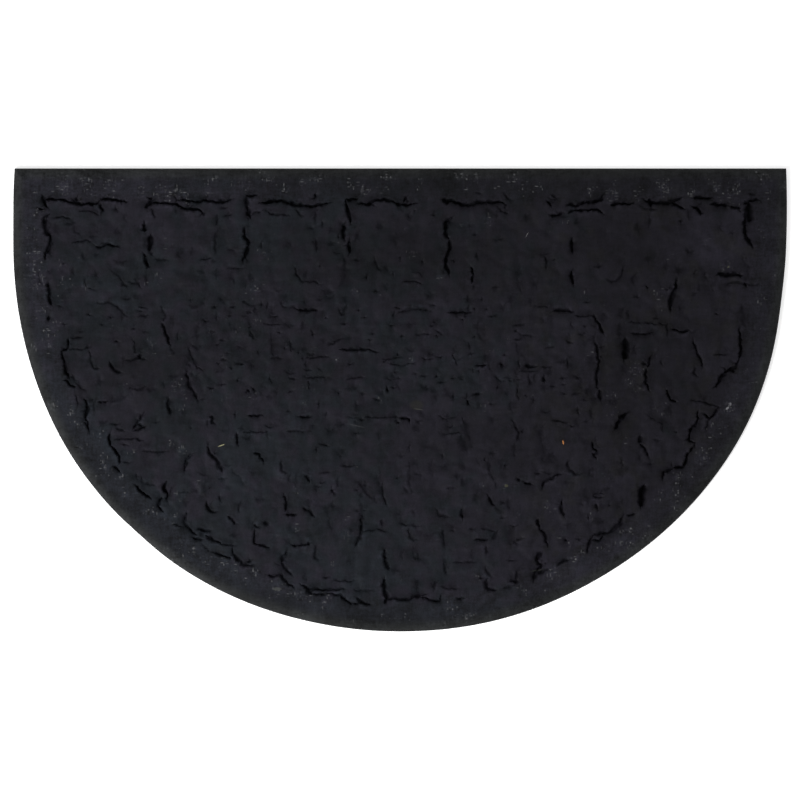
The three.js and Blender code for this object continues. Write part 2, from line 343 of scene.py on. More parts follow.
# In the left of the field
LEFT_FIELD_SPLITS = (
    crease(2.8, (-293, 94), (-278, 94), (-272, 89), (-265, 81)),
    crease(1.8, (-252, 90), (-247, 89)),
    crease(2.2, (-252, 81), (-245, 82)),
    crease(3.0, (-231, 89), (-226, 82), (-229, 76)),
    parted(3.8, (-231, 75), (-227, 66), (-223, 53)),
    dent(5.0, (-223, 50), (-218, 44)),
    dent(4.0, (-195, 74), (-196, 60)),
    dent(7.0, (-204, 48), (-201, 40), (-197, 33)),
    crease(1.6, (-205, 50), (-202, 42), (-197, 32), (-191, 29)),
    parted(3.6, (-207, 27), (-204, 16), (-196, 0)),
    parted(4.4, (-224, 2), (-225, -7), (-222, -14)),
    parted(4.0, (-184, -15), (-180, -23)),
    parted(2.6, (-147, -15), (-134, -15)),
    crease(2.6, (-301, 48), (-299, 37), (-296, 31), (-290, 30)),
    parted(3.2, (-281, 37), (-277, 29), (-270, 27)),
    crease(2.4, (-267, 39), (-259, 39), (-252, 42), (-246, 39)),
    torn(4.8, (-254, 43), (-250, 41)),
    crease(2.2, (-258, 58), (-256, 45)),
    parted(2.2, (-293, -2), (-284, -1)),
    crease(2.4, (-262, 11), (-254, 10), (-247, 13)),
    dent(4.0, (-281, -3), (-275, 0), (-265, 4)),
    parted(2.6, (-249, -13), (-254, -21), (-258, -28)),
    parted(3.4, (-258, -29), (-247, -26), (-254, -23)),
    crease(2.4, (-275, -28), (-267, -30)),
    crease(2.2, (-248, -49), (-239, -50), (-225, -50)),
    crease(2.8, (-158, 35), (-152, 35)),
    dent(4.0, (-146, 37), (-141, 31)),
    crease(2.2, (-175, 58), (-170, 58)),
    crease(2.4, (-146, 66), (-141, 60)),
    dent(3.0, (-154, 81), (-147, 82)),
    parted(3.2, (-201, -52), (-207, -58), (-209, -68)),
    parted(4.2, (-186, -44), (-183, -52), (-176, -60), (-172, -70)),
    parted(3.4, (-158, -32), (-157, -44)),
    dent(4.0, (-156, -27), (-151, -27)),
    crease(1.4, (-152, -31), (-129, -31), (-128, -35)),
    parted(3.0, (-142, -51), (-136, -53), (-132, -61)),
    dent(2.6, (-163, -68), (-155, -74), (-150, -84)),
    crease(2.4, (-211, -89), (-206, -89)),
    crease(3.0, (-175, -92), (-174, -98)),
    crease(2.6, (-155, -100), (-156, -108)),
    parted(2.6, (-188, -99), (-184, -108), (-179, -109)),
    parted(2.8, (-167, -112), (-159, -120)),
)

# In the middle of the field
CENTRE_SPLITS = (
    crease(2.6, (-115, 91), (-103, 90), (-99, 88)),
    parted(3.0, (-100, 88), (-92, 87), (-80, 87)),
    crease(3.6, (-59, 86), (-56, 82), (-51, 91)),
    crease(2.6, (0, 85), (10, 88), (17, 88), (29, 86)),
    parted(2.8, (47, 85), (58, 85), (70, 85)),
    crease(2.4, (66, 91), (67, 86)),
    crease(1.8, (60, 78), (62, 78)),
    crease(1.2, (-131, 73), (-116, 73)),
    crease(2.0, (22, 64), (29, 64)),
    crease(2.0, (35, 67), (42, 63)),
    crease(2.0, (-146, 64), (-141, 59)),
    dent(4.0, (-125, 63), (-123, 41)),
    crease(1.8, (-107, 58), (-105, 47)),
    crease(1.4, (-85, 65), (-84, 62)),
    crease(2.8, (-64, 56), (-57, 59)),
    dent(3.0, (-49, 62), (-49, 57)),
    parted(2.8, (-58, 49), (-51, 49), (-30, 49), (-22, 46)),
    crease(1.3, (-90, 41), (-70, 42)),
    crease(1.2, (-124, 41), (-114, 41)),
    crease(1.4, (-17, 39), (0, 41)),
    crease(1.2, (-10, 36), (0, 33), (12, 36)),
    crease(2.6, (22, 40), (26, 39)),
    parted(2.4, (-155, 35), (-151, 35)),
    dent(4.0, (-144, 35), (-144, 30)),
    crease(2.0, (-79, 31), (-76, 29)),
    crease(1.3, (-92, 29), (-87, 29)),
    parted(2.4, (74, 33), (84, 34)),
    dent(7.0, (94, 35), (102, 31)),
    parted(3.0, (97, 36), (100, 31)),
    crease(2.6, (111, 72), (118, 72)),
    crease(1.4, (115, 64), (130, 62)),
    parted(3.2, (121, 33), (131, 32)),
    crease(1.2, (115, 28), (131, 28)),
    crease(1.2, (115, 39), (116, 31)),
    crease(2.4, (137, 32), (144, 31)),
    crease(2.6, (-126, 24), (-125, 17)),
    crease(2.4, (-108, 21), (-101, 21)),
    crease(1.2, (-92, 22), (-70, 22)),
    crease(2.0, (-47, 22), (-35, 22)),
    crease(1.3, (-12, 20), (0, 21)),
    crease(1.8, (49, 21), (53, 21)),
    crease(1.6, (58, 20), (62, 20)),
    crease(1.8, (93, 22), (100, 18)),
    crease(1.8, (125, 24), (126, 14)),
    parted(2.8, (139, 23), (140, 17)),
    parted(2.6, (-148, 8), (-146, 10)),
    parted(2.2, (-143, 12), (-141, 9)),
    crease(2.4, (-108, 7), (-103, 9)),
    crease(2.4, (-89, 13), (-87, 10)),
    dent(4.0, (-52, 11), (-42, 12)),
    parted(2.2, (-13, 12), (-12, 7)),
    crease(2.6, (-38, 7), (-34, 6)),
    dent(4.4, (24, 12), (29, 10)),
    dent(4.4, (44, 5), (50, 7)),
    parted(2.6, (72, 5), (78, 6)),
    parted(2.4, (65, 0), (67, -5)),
    crease(1.6, (114, 13), (114, 1)),
    parted(2.8, (-98, -16), (-87, -16)),
    dent(3.4, (-51, -17), (-41, -17)),
    crease(1.2, (-27, -17), (0, -17)),
    parted(3.0, (0, -17), (10, -18), (9, -22)),
    dent(4.0, (-155, -27), (-151, -28)),
    crease(1.6, (-130, -26), (-123, -26)),
    crease(1.4, (-109, -30), (-87, -30)),
    dent(7.0, (62, -20), (64, -29), (70, -46)),
    crease(3.0, (61, -19), (62, -23)),
    crease(1.2, (39, -17), (53, -18)),
    crease(1.4, (42, -33), (60, -31)),
    crease(3.0, (109, -20), (115, -32), (113, -40)),
    dent(4.0, (111, -42), (112, -57)),
    dent(3.0, (76, 65), (79, 58)),
    crease(1.4, (51, 45), (55, 35)),
    crease(2.4, (173, 64), (178, 65)),
    crease(2.6, (161, 57), (166, 55)),
    crease(1.6, (162, 40), (162, 32)),
    crease(2.2, (156, 21), (159, 21)),
    crease(2.0, (170, 22), (174, 21)),
    crease(3.0, (168, 6), (173, 6)),
    crease(2.0, (172, -7), (173, -14)),
    crease(2.2, (150, -20), (163, -22)),
)

# In the right of the field
RIGHT_FIELD_SPLITS = (
    crease(1.4, (132, 91), (144, 90)),
    parted(3.4, (148, 86), (155, 87), (163, 87), (167, 85)),
    crease(1.8, (169, 82), (178, 81), (186, 82)),
    parted(3.2, (186, 82), (191, 76), (197, 64)),
    dent(2.0, (137, 82), (141, 75)),
    parted(3.0, (187, 57), (190, 52), (191, 45), (193, 39), (191, 27), (191, 11)),
    parted(4.4, (194, 10), (194, 0)),
    torn(7.4, (218, 60), (219, 48), (217, 39)),
    dent(5.0, (213, 74), (212, 61)),
    dent(4.0, (220, 87), (221, 80)),
    parted(2.2, (225, 64), (236, 64), (245, 65)),
    crease(1.3, (223, 75), (244, 74), (262, 73)),
    parted(2.2, (263, 69), (271, 66), (281, 67)),
    parted(2.8, (242, 42), (242, 35), (240, 32)),
    parted(2.6, (234, 36), (239, 34)),
    parted(3.2, (238, 31), (238, 16), (242, 9)),
    parted(2.4, (284, 58), (288, 45), (292, 39), (293, 32)),
    crease(2.2, (286, 32), (284, 26), (289, 23)),
    crease(1.6, (305, 44), (317, 44)),
    crease(1.8, (253, 39), (254, 34)),
    parted(2.2, (257, 10), (262, 0), (268, -2)),
    torn(5.0, (220, -13), (212, -19), (208, -29)),
    dent(3.0, (184, -8), (188, -18)),
    dent(2.6, (239, -13), (246, -19), (254, -23), (254, -32)),
    parted(3.4, (233, -34), (232, -42)),
    parted(2.8, (232, -42), (238, -47), (240, -55)),
    parted(3.0, (186, -40), (187, -47), (191, -50), (187, -53), (191, -57)),
    crease(3.2, (162, -60), (163, -66), (170, -72), (175, -72)),
    dent(6.0, (215, -65), (215, -74)),
    crease(1.6, (241, -62), (245, -62)),
    parted(3.0, (137, -84), (140, -79), (147, -76), (151, -73), (157, -72)),
    dent(5.4, (181, -84), (182, -99)),
    crease(1.6, (187, -91), (197, -91)),
    crease(1.6, (187, -94), (197, -94)),
    parted(2.6, (190, -100), (191, -106)),
    parted(3.6, (157, -97), (157, -105), (159, -113)),
    parted(3.0, (133, -116), (135, -125), (141, -131), (143, -141)),
    parted(2.6, (159, -135), (163, -136)),
    crease(2.4, (172, -135), (175, -135)),
    parted(4.0, (137, -147), (132, -155)),
    dent(3.6, (140, -23), (136, -32), (139, -44), (141, -54)),
)

# In the lower part of the field
LOWER_FIELD_SPLITS = (
    crease(1.4, (-78, -43), (-69, -44)),
    crease(3.2, (-115, -60), (-114, -68), (-109, -71)),
    parted(2.6, (-92, -72), (-87, -79)),
    crease(1.6, (-76, -70), (-68, -70)),
    crease(1.4, (-81, -84), (-77, -84)),
    parted(2.4, (-66, -86), (-64, -90)),
    parted(3.2, (-113, -92), (-110, -99), (-111, -108)),
    parted(2.2, (-111, -111), (-101, -111)),
    parted(3.2, (-94, -104), (-87, -108), (-84, -113)),
    dent(3.0, (-41, -79), (-32, -91), (-28, -95)),
    crease(1.4, (-57, -64), (-45, -64)),
    dent(5.0, (-19, -71), (-18, -92)),
    crease(2.2, (-17, -80), (-17, -90), (-13, -102)),
    dent(3.4, (9, -61), (9, -79), (12, -91)),
    dent(4.4, (30, -60), (31, -73)),
    dent(9.0, (59, -34), (65, -50)),
    dent(4.4, (60, -76), (62, -84)),
    crease(1.6, (45, -85), (53, -85)),
    dent(4.4, (86, -58), (87, -71), (90, -78)),
    parted(2.2, (113, -76), (117, -78)),
    parted(2.8, (120, -80), (128, -81)),
    parted(3.4, (86, -94), (88, -100), (92, -102)),
    dent(4.6, (92, -104), (100, -110)),
    crease(3.2, (35, -105), (39, -112), (48, -113)),
    parted(3.2, (60, -105), (61, -115)),
    dent(6.0, (-38, -100), (-37, -116)),
    parted(3.6, (-37, -113), (-38, -129), (-43, -142)),
    crease(1.8, (-36, -127), (-26, -126), (-23, -125), (-13, -128)),
    crease(3.2, (-18, -116), (-16, -123)),
    dent(3.2, (-68, -115), (-67, -125)),
    crease(1.8, (0, -120), (7, -121)),
    crease(3.4, (8, -125), (10, -133), (15, -136)),
    dent(5.4, (13, -141), (15, -155)),
    dent(7.0, (41, -125), (43, -142)),
    crease(2.4, (42, -126), (43, -140)),
    parted(2.6, (73, -135), (86, -135)),
    crease(2.8, (84, -141), (84, -150)),
    crease(2.8, (89, -135), (94, -128)),
    dent(5.4, (107, -125), (108, -141)),
    crease(3.0, (113, -136), (119, -134)),
    parted(3.0, (133, -115), (134, -122)),
    dent(3.4, (69, -146), (70, -154)),
    crease(3.0, (110, -136), (112, -139)),
    parted(3.4, (-133, -118), (-127, -121)),
    parted(2.8, (-142, -121), (-137, -123)),
    parted(2.4, (-141, -125), (-141, -139), (-126, -143)),
    parted(2.4, (-105, -141), (-89, -140)),
    parted(3.6, (-91, -140), (-87, -139)),
    crease(3.4, (-82, -143), (-82, -153), (-78, -155)),
    crease(3.0, (43, -157), (44, -167)),
    crease(1.8, (52, -157), (73, -157)),
)

PLACED_SPLITS = (
    *STRAIGHT_EDGE_SPLITS, *SIDE_SPLITS, *ROUND_EDGE_SPLITS, *UPPER_FIELD_SPLITS, *LEFT_FIELD_SPLITS,
    *CENTRE_SPLITS, *RIGHT_FIELD_SPLITS, *LOWER_FIELD_SPLITS,
)


class SpeckCluster(NamedTuple):
    """A cluster of pale crumbs in the face, in millimetres.

    Attributes:
        x: its middle, to the right.
        y: its middle, towards the straight edge.
        reach: its radius.
        crowd: how many of its crumbs are pale, from 0 to 1.
    """

    x: float
    y: float
    reach: float
    crowd: float


# Each row is a cluster: x, y, reach and crowd
SPECK_CLUSTERS = (
    # In the border band
    (-325, 208, 8, 0.5), (-304, 213, 5, 0.8), (-300, 202, 5, 0.6), (-279, 208, 8, 0.4),
    (-310, 193, 2, 1.0), (-227, 202, 9, 0.6), (-209, 197, 5, 1.0), (-249, 201, 5, 0.4),
    (-185, 213, 3, 0.7), (-179, 215, 4, 0.4), (-152, 207, 8, 0.5), (-186, 202, 3, 0.6),
    (-149, 214, 3, 0.7), (-131, 218, 5, 0.3), (-126, 210, 6, 0.2), (-110, 204, 3, 0.8),
    (-94, 212, 4, 0.6), (-82, 212, 4, 0.7), (-76, 218, 3, 0.5), (-47, 208, 4, 0.5), (-34, 203, 3, 1.0),
    (-37, 208, 4, 0.5), (-13, 216, 4, 0.7), (-17, 208, 5, 0.4), (-13, 205, 3, 0.4), (17, 204, 3, 0.5),
    (21, 212, 2, 0.7), (56, 217, 3, 1.0), (63, 216, 4, 1.0), (74, 216, 4, 0.5), (64, 205, 2, 0.6),
    (93, 205, 3, 0.5), (84, 212, 5, 0.3), (110, 213, 6, 0.6), (120, 208, 6, 0.3), (134, 205, 4, 0.5),
    (184, 203, 4, 0.6), (206, 199, 6, 0.9), (208, 208, 2, 0.5), (230, 199, 5, 0.3), (252, 207, 5, 0.5),
    (259, 212, 3, 0.7), (258, 202, 4, 0.7), (276, 208, 2, 0.5), (283, 201, 3, 0.4), (301, 210, 3, 0.6),
    (307, 205, 3, 1.0), (323, 200, 7, 0.5), (329, 209, 5, 0.5), (351, 215, 7, 0.4), (356, 199, 4, 0.3),
    (351, 166, 2, 0.7), (351, 157, 2, 0.7), (372, 208, 3, 0.8), (-352, 201, 3, 0.6),
    (-352, 181, 8, 0.3), (-356, 168, 5, 0.3), (-352, 142, 6, 0.6), (-353, 132, 6, 0.5),
    (-352, 121, 8, 0.7), (-349, 113, 5, 0.6), (-357, 157, 6, 0.2), (-340, 52, 3, 0.9),
    (-336, -5, 5, 0.6), (-318, -11, 4, 1.0), (-331, 73, 2, 0.7), (-349, 86, 6, 0.4), (-340, 69, 7, 0.4),
    (-310, -21, 5, 0.6), (-356, 50, 5, 0.3), (-312, -45, 3, 0.6), (-290, -33, 4, 0.5),
    (-298, -44, 3, 0.3), (-285, -66, 6, 0.5), (-288, -57, 5, 0.3), (-272, -75, 4, 0.5),
    (-265, -89, 5, 0.3), (-242, -109, 5, 0.7), (-219, -115, 4, 0.6), (-228, -113, 3, 0.4),
    (-213, -139, 4, 0.5), (-200, -143, 5, 0.5), (-226, -144, 4, 0.3), (-216, -152, 4, 0.4),
    (-188, -157, 4, 0.6), (-169, -158, 3, 1.0), (-174, -162, 3, 0.5), (-163, -165, 5, 0.3),
    (-141, -167, 4, 0.8), (-149, -174, 4, 0.4), (-119, -183, 5, 0.7), (-98, -189, 4, 0.6),
    (-104, -187, 3, 0.4), (-91, -193, 4, 0.4), (-73, -192, 5, 0.4), (-97, -205, 3, 0.5),
    (-72, -202, 4, 0.3), (-123, -175, 3, 0.4), (-46, -216, 3, 0.5), (-15, -207, 4, 0.4),
    (5, -208, 4, 0.5), (-2, -209, 3, 0.4), (43, -216, 3, 0.9), (64, -209, 3, 0.9), (68, -207, 4, 0.4),
    (56, -210, 3, 0.4), (48, -200, 5, 0.4), (31, -202, 4, 0.3), (141, -184, 2, 0.7),
    (121, -185, 5, 0.3), (147, -170, 4, 0.8), (150, -167, 3, 0.6), (169, -152, 4, 0.7),
    (176, -147, 4, 0.6), (199, -141, 4, 0.4), (214, -139, 4, 0.6), (224, -140, 3, 0.5),
    (191, -142, 3, 0.4), (224, -126, 3, 0.9), (218, -126, 4, 0.6), (217, -131, 4, 0.5),
    (238, -121, 2, 0.4), (238, -133, 3, 0.5), (266, -104, 3, 0.5), (268, -91, 6, 0.5),
    (263, -94, 4, 0.4), (250, -87, 4, 0.4), (250, -93, 4, 0.4), (269, -75, 4, 0.9), (267, -81, 4, 0.5),
    (264, -85, 4, 0.4), (296, -78, 2, 0.5), (285, -70, 4, 0.4), (292, -63, 3, 0.6), (293, -57, 6, 0.4),
    (294, -48, 4, 0.5), (316, -27, 5, 0.2), (299, -26, 4, 0.4), (304, -36, 3, 0.3), (318, -7, 5, 1.0),
    (323, 2, 3, 0.4), (340, 18, 4, 0.3), (335, 28, 2, 0.6), (347, 70, 4, 0.4), (347, 65, 2, 0.5),
    (350, 97, 5, 0.4), (362, 119, 2, 0.6),
    # In the field
    (-198, 173, 6, 0.2), (-225, 152, 6, 0.2), (-327, 114, 4, 0.3), (-321, 107, 8, 0.2),
    (-305, 111, 4, 0.5), (-328, 131, 3, 0.4), (-238, 120, 8, 0.3), (-140, 106, 7, 0.4),
    (-132, 142, 5, 0.4), (-62, 153, 2, 0.6), (-44, 105, 3, 0.5), (-23, 100, 3, 0.4), (11, 139, 6, 0.2),
    (6, 166, 2, 0.8), (-14, 171, 2, 0.5), (37, 119, 2, 0.7), (48, 158, 2, 0.6), (59, 169, 2, 0.6),
    (86, 174, 5, 0.5), (21, 177, 2, 0.4), (155, 173, 2, 0.5), (162, 173, 2, 0.5), (263, 140, 3, 0.5),
    (296, 153, 4, 0.2), (317, 129, 4, 0.7), (312, 125, 2, 1.0), (218, 108, 2, 0.4), (252, 103, 5, 0.4),
    (253, 91, 3, 0.5), (180, 103, 3, 0.3), (-282, 72, 3, 0.5), (-281, 55, 3, 0.4), (-268, 14, 4, 0.4),
    (-241, 56, 4, 0.5), (-242, 48, 4, 0.3), (-214, 14, 6, 0.5), (-213, -7, 4, 0.4), (-205, 5, 5, 0.3),
    (-184, 65, 3, 0.6), (-157, 64, 5, 0.3), (-139, 77, 4, 0.4), (-171, 42, 3, 0.4), (-139, 3, 4, 0.7),
    (-165, 3, 4, 0.2), (-213, -49, 5, 0.6), (-258, -47, 3, 0.7), (-265, -53, 3, 0.4),
    (-222, -44, 3, 0.4), (-196, -81, 3, 0.5), (-213, -97, 4, 0.4), (-215, -91, 4, 0.4),
    (-189, -99, 2, 0.6), (-114, -74, 3, 0.6), (-100, -89, 3, 1.0), (-118, -131, 4, 0.4),
    (-125, -130, 3, 0.6), (-99, -126, 3, 0.6), (-90, -113, 2, 0.6), (-51, -116, 3, 0.8),
    (-52, -129, 5, 0.4), (-45, -67, 2, 0.7), (-66, -159, 3, 0.6), (27, -132, 4, 0.2),
    (102, -83, 3, 0.6), (108, -82, 3, 0.6), (78, -82, 3, 0.4), (115, -110, 2, 0.9), (124, -76, 2, 0.7),
    (154, -91, 2, 0.7), (157, -130, 3, 0.5), (147, -104, 5, 0.3), (183, -115, 3, 0.5),
    (204, -72, 5, 0.2), (222, -40, 5, 0.2), (163, -141, 3, 0.4), (230, 29, 6, 0.4), (224, 18, 5, 0.5),
    (232, 10, 4, 0.4), (204, 5, 3, 0.5), (207, -1, 4, 0.4), (204, -13, 3, 0.5), (252, -9, 5, 0.5),
    (138, 47, 4, 0.3), (184, 45, 5, 0.2), (230, 50, 4, 0.2), (-92, 8, 4, 0.4), (-94, -3, 4, 0.4),
    (-62, 39, 2, 0.8), (13, 38, 2, 0.9), (-19, 0, 4, 0.3), (107, 59, 2, 0.9), (91, 48, 3, 0.4),
    (82, -7, 4, 0.4), (128, 2, 3, 0.4), (37, 67, 2, 0.6), (1, -172, 3, 0.3), (101, -153, 4, 0.2),
    (73, -171, 4, 0.2),
)


class LightAndTonePatch(NamedTuple):
    """A broad soft patch of painted light and shade and of uneven lightness, in millimetres.

    Attributes:
        x: its middle, to the right.
        y: its middle, towards the straight edge.
        reach_x: how far it runs out to the sides.
        reach_y: how far it runs out up and down.
        lighter: how much lighter it is in its middle, as a share.
    """

    x: float
    y: float
    reach_x: float
    reach_y: float
    lighter: float


# Each row is a patch: x, y, its two reaches and how much lighter it is
# Painted shade round some splits and dents, a painted highlight along the rim, painted light falling from the
# lower left and fading to the upper right, and uneven lightness
PAINTED_LIGHT_AND_TONE_PATCHES = (
    (20, 140, 150, 38, -0.43),
    (40, 208, 170, 17, -0.34),
    (320, 205, 60, 14, -0.18),
    (165, 199, 130, 22, -0.14),
    (235, 216, 60, 9, -0.16),
    (240, 150, 90, 50, -0.23),
    (250, 20, 80, 70, -0.33),
    (243, 87, 45, 40, -0.12),
    (262, -82, 20, 12, -0.24),
    (250, -62, 50, 30, -0.12),
    (228, -108, 16, 12, -0.20),
    (-260, 206, 70, 14, 0.18),
    (-281, 222, 60, 5, 0.25),
    (0, 223, 200, 3, 0.20),
    (-358, 217, 30, 13, 0.70),
    (-358, 165, 12, 40, 0.13),
    (-243, 126, 12, 16, -0.20),
    (-305, 68, 18, 40, -0.14),
    (-250, 35, 70, 38, -0.29),
    (-232, -39, 30, 24, -0.24),
    (-267, -75, 16, 14, -0.20),
    (-204, -107, 14, 12, -0.20),
    (-180, -90, 80, 50, 0.16),
    (-90, 45, 85, 50, -0.20),
    (87, -39, 110, 30, -0.20),
    (-130, -170, 70, 16, 0.12),
    (-40, -175, 60, 26, 0.12),
    (-340, 15, 14, 34, 0.28),
    (-306, -62, 18, 40, 0.20),
    (-265, -112, 26, 24, 0.20),
    (-210, -155, 34, 18, 0.22),
    (-150, -192, 40, 10, -0.36),
    (8, -212, 22, 12, -0.18),
    (-40, -214, 60, 9, -0.14),
    (76, -208, 50, 9, -0.14),
    (76, -208, 50, 14, 0.30),
    (190, -168, 46, 26, 0.34),
    (228, -134, 24, 16, 0.10),
    (335, -24, 14, 24, 0.22),
    (362, 130, 10, 32, 0.14),
    (301, 149, 25, 20, 0.46),
    (241, 137, 7, 7, -0.25),
    (278, 145, 6, 7, -0.25),
    (270, 126, 6, 7, -0.25),
)


@dataclass(frozen=True)
class EdgeDent:
    """Where the round edge strays from its curve.

    Attributes:
        at: degrees from the right shoulder round to the left one.
        half: half the length of the stretch, in degrees.
        inward: how far it lies inside the curve, in millimetres.
    """

    at: float
    half: float
    inward: float


EDGE_DENTS = (
    EdgeDent(at=8, half=7, inward=1.8),
    EdgeDent(at=28, half=10, inward=-1.2),
    EdgeDent(at=59, half=14, inward=1.75),
    EdgeDent(at=104, half=9, inward=0.5),
    EdgeDent(at=132, half=4, inward=0.9),
    EdgeDent(at=149, half=8, inward=-0.6),
)


def smooth_step(value: Array, low: float, high: float) -> Array:
    """A soft step from 0 at low to 1 at high.

    Args:
        value: the numbers to step.
        low: where the step starts.
        high: where it ends.

    Returns:
        The step at each number.
    """
    share = np.clip((value - low) / (high - low), 0.0, 1.0)
    return share * share * (3.0 - 2.0 * share)


def blended(first: Array, second: Array, share: Array) -> Array:
    """Numbers between two others, by the second one's share."""
    return first * (1.0 - share) + second * share


def soft_noise(x: Array, y: Array, cell: float, seed: int) -> Array:
    """Smooth uneven numbers over the plan, the same in every run.

    Args:
        x: places across, in millimetres.
        y: places along, in millimetres.
        cell: the size of one lump, in millimetres.
        seed: which pattern.

    Returns:
        A number from -1 to 1 at each place.
    """
    lattice_size = 512
    lattice = np.random.default_rng(seed).uniform(-1.0, 1.0, (lattice_size, lattice_size))
    across, along = np.asarray(x) / cell, np.asarray(y) / cell
    column, row = np.floor(across).astype(int), np.floor(along).astype(int)
    right, up = smooth_step(across - column, 0.0, 1.0), smooth_step(along - row, 0.0, 1.0)
    column, row = column % lattice_size, row % lattice_size
    next_column, next_row = (column + 1) % lattice_size, (row + 1) % lattice_size
    low = blended(lattice[row, column], lattice[row, next_column], right)
    high = blended(lattice[next_row, column], lattice[next_row, next_column], right)
    return blended(low, high, up)


def plate_relief(x: Array, y: Array, cell: float, seed: int) -> Array:
    """Uneven plates, each tilted its own way, with soft creases where they meet.

    Args:
        x: places across, in millimetres.
        y: places along, in millimetres.
        cell: the size of one plate, in millimetres.
        seed: which pattern.

    Returns:
        A height of about -1 to 1 at each place.
    """
    lattice_size = 256
    sway, sway_cell, spread = 0.3, 0.6 * cell, 0.38
    seam_width, seam_depth, out_of_reach = 0.3, 0.45, 9.0
    swayed_x = x / cell + sway * soft_noise(x, y, sway_cell, seed + 1)
    swayed_y = y / cell + sway * soft_noise(x, y, sway_cell, seed + 2)
    draw = np.random.default_rng(seed).uniform(-1.0, 1.0, (lattice_size, lattice_size, 4))
    column, row = np.floor(swayed_x).astype(int), np.floor(swayed_y).astype(int)
    nearest, second = np.full(len(x), out_of_reach), np.full(len(x), out_of_reach)
    tilted = np.zeros(len(x))
    for across in (-1, 0, 1):
        for along in (-1, 0, 1):
            own = draw[(row + along) % lattice_size, (column + across) % lattice_size]
            off_x = swayed_x - (column + across + 0.5 + spread * own[:, 0])
            off_y = swayed_y - (row + along + 0.5 + spread * own[:, 1])
            away = np.hypot(off_x, off_y)
            closer = away < nearest
            second = np.where(closer, nearest, np.minimum(second, away))
            tilted = np.where(closer, own[:, 2] * off_x + own[:, 3] * off_y, tilted)
            nearest = np.where(closer, away, nearest)
    seam = 1.0 - smooth_step(second - nearest, 0.0, seam_width)
    return tilted - seam_depth * seam


@dataclass
class MatPlan:
    """The mat seen from above, in millimetres from its middle.

    Attributes:
        width: along the straight edge.
        depth: from the straight edge to the lowest point of the round one.
        side_length: from the straight edge to the shoulder, where the round edge begins.
        left_draw_in: how far the left corner stands inside the widest line.
        right_draw_in: the same at the right corner.
        right_swell: how far the right side stands out past the widest line.
        round_power: 2 is a plain ellipse, and more is squarer.
    """

    width: float = 750.0
    depth: float = 449.0
    side_length: float = 72.0
    left_draw_in: float = 1.4
    right_draw_in: float = 0.6
    right_swell: float = 0.2
    round_power: float = 2.065

    @property
    def straight_y(self) -> float:
        """Where the straight edge lies."""
        return self.depth / 2

    @property
    def shoulder_y(self) -> float:
        """Where the round edge begins."""
        return self.straight_y - self.side_length

    def even_radius(self, angle: Array) -> Array:
        """The even curve's distance from the middle of the shoulder line.

        Args:
            angle: radians from the right shoulder round the lower edge.

        Returns:
            The distance at each angle.
        """
        across = np.abs(np.cos(angle)) / (self.width / 2)
        down = np.abs(np.sin(angle)) / (self.depth - self.side_length)
        return (across**self.round_power + down**self.round_power) ** (-1.0 / self.round_power)

    def dent_at(self, angle: Array) -> Array:
        """How far the real edge lies inside the even curve.

        Args:
            angle: radians from the right shoulder round the lower edge.

        Returns:
            The inset at each angle.
        """
        degrees = np.degrees(angle)
        return sum(dent_.inward * np.exp(-(((degrees - dent_.at) / dent_.half) ** 2)) for dent_ in EDGE_DENTS)

    def side_inset(self, share: Array, on_right: Array | bool) -> Array:
        """How far a side lies inside the widest line.

        Args:
            share: 0 at the shoulder to 1 at the corner.
            on_right: whether it is the right side.

        Returns:
            The inset at each place.
        """
        draw_in = np.where(on_right, self.right_draw_in, self.left_draw_in) * share**4
        swell = np.where(on_right, self.right_swell, 0.0) * np.sin(np.pi * share)
        shoulder = self.dent_at(np.where(on_right, 0.0, np.pi)) * (1.0 - share) ** 4
        return draw_in - swell + shoulder

    def inside_by(self, x: Array, y: Array) -> Array:
        """How far places lie inside the mat's edge.

        Args:
            x: places across.
            y: places along.

        Returns:
            The distance, which is negative outside.
        """
        from_straight = self.straight_y - y
        drop = self.shoulder_y - y
        angle = np.arctan2(np.maximum(drop, 0.0), x)
        round_side = self.even_radius(angle) - self.dent_at(angle) - np.hypot(x, drop)
        up = np.clip(-drop / self.side_length, 0.0, 1.0)
        straight_side = self.width / 2 - self.side_inset(up, x > 0.0) - np.abs(x)
        return np.minimum(from_straight, np.where(drop > 0.0, round_side, straight_side))

    def outline(self, spacing: float) -> Array:
        """Points round the edge, anticlockwise from the right corner.

        Args:
            spacing: about how far apart they are.

        Returns:
            One row of x and y for each point.
        """
        half = self.width / 2
        across = np.linspace(half - self.right_draw_in, self.left_draw_in - half, round(2 * half / spacing))
        top = np.column_stack([across, np.full_like(across, self.straight_y)])
        turns = round(math.pi * self.width / 2 / spacing)
        angle = np.linspace(math.pi, 0.0, turns + 1)
        radius = self.even_radius(angle) - self.dent_at(angle)
        arc = np.column_stack([radius * np.cos(angle), self.shoulder_y - radius * np.sin(angle)])
        up = np.linspace(0.0, 1.0, round(self.side_length / spacing), endpoint=False)[1:]
        height = self.shoulder_y + self.side_length * up
        right = np.column_stack([half - self.side_inset(up, True), height])
        left = np.column_stack([self.side_inset(up, False) - half, height])[::-1]
        return np.vstack([top, left, arc, right])


def inset_ring(ring: Array, inward: float) -> Array:
    """A closed ring moved inwards everywhere by the same distance.

    Args:
        ring: its points, anticlockwise.
        inward: the distance.

    Returns:
        As many points, moved.
    """
    along = np.roll(ring, -1, axis=0) - ring
    along /= np.linalg.norm(along, axis=1, keepdims=True)
    normal = np.column_stack([-along[:, 1], along[:, 0]])
    before = np.roll(normal, 1, axis=0)
    mitre = (normal + before) / (1.0 + np.sum(normal * before, axis=1, keepdims=True))
    return ring + inward * mitre


class Beside(NamedTuple):
    """What a split is like beside some places, in millimetres.

    Attributes:
        away: how far each place lies from the split's middle line.
        on_left: whether it lies to the left of that line.
        half: how far the split opens on that side.
        fullness: how full it is there, from 0 to 1.
        depth: how deep and dark it is there, as a share.
    """

    away: Array
    on_left: Array
    half: Array
    fullness: Array
    depth: Array


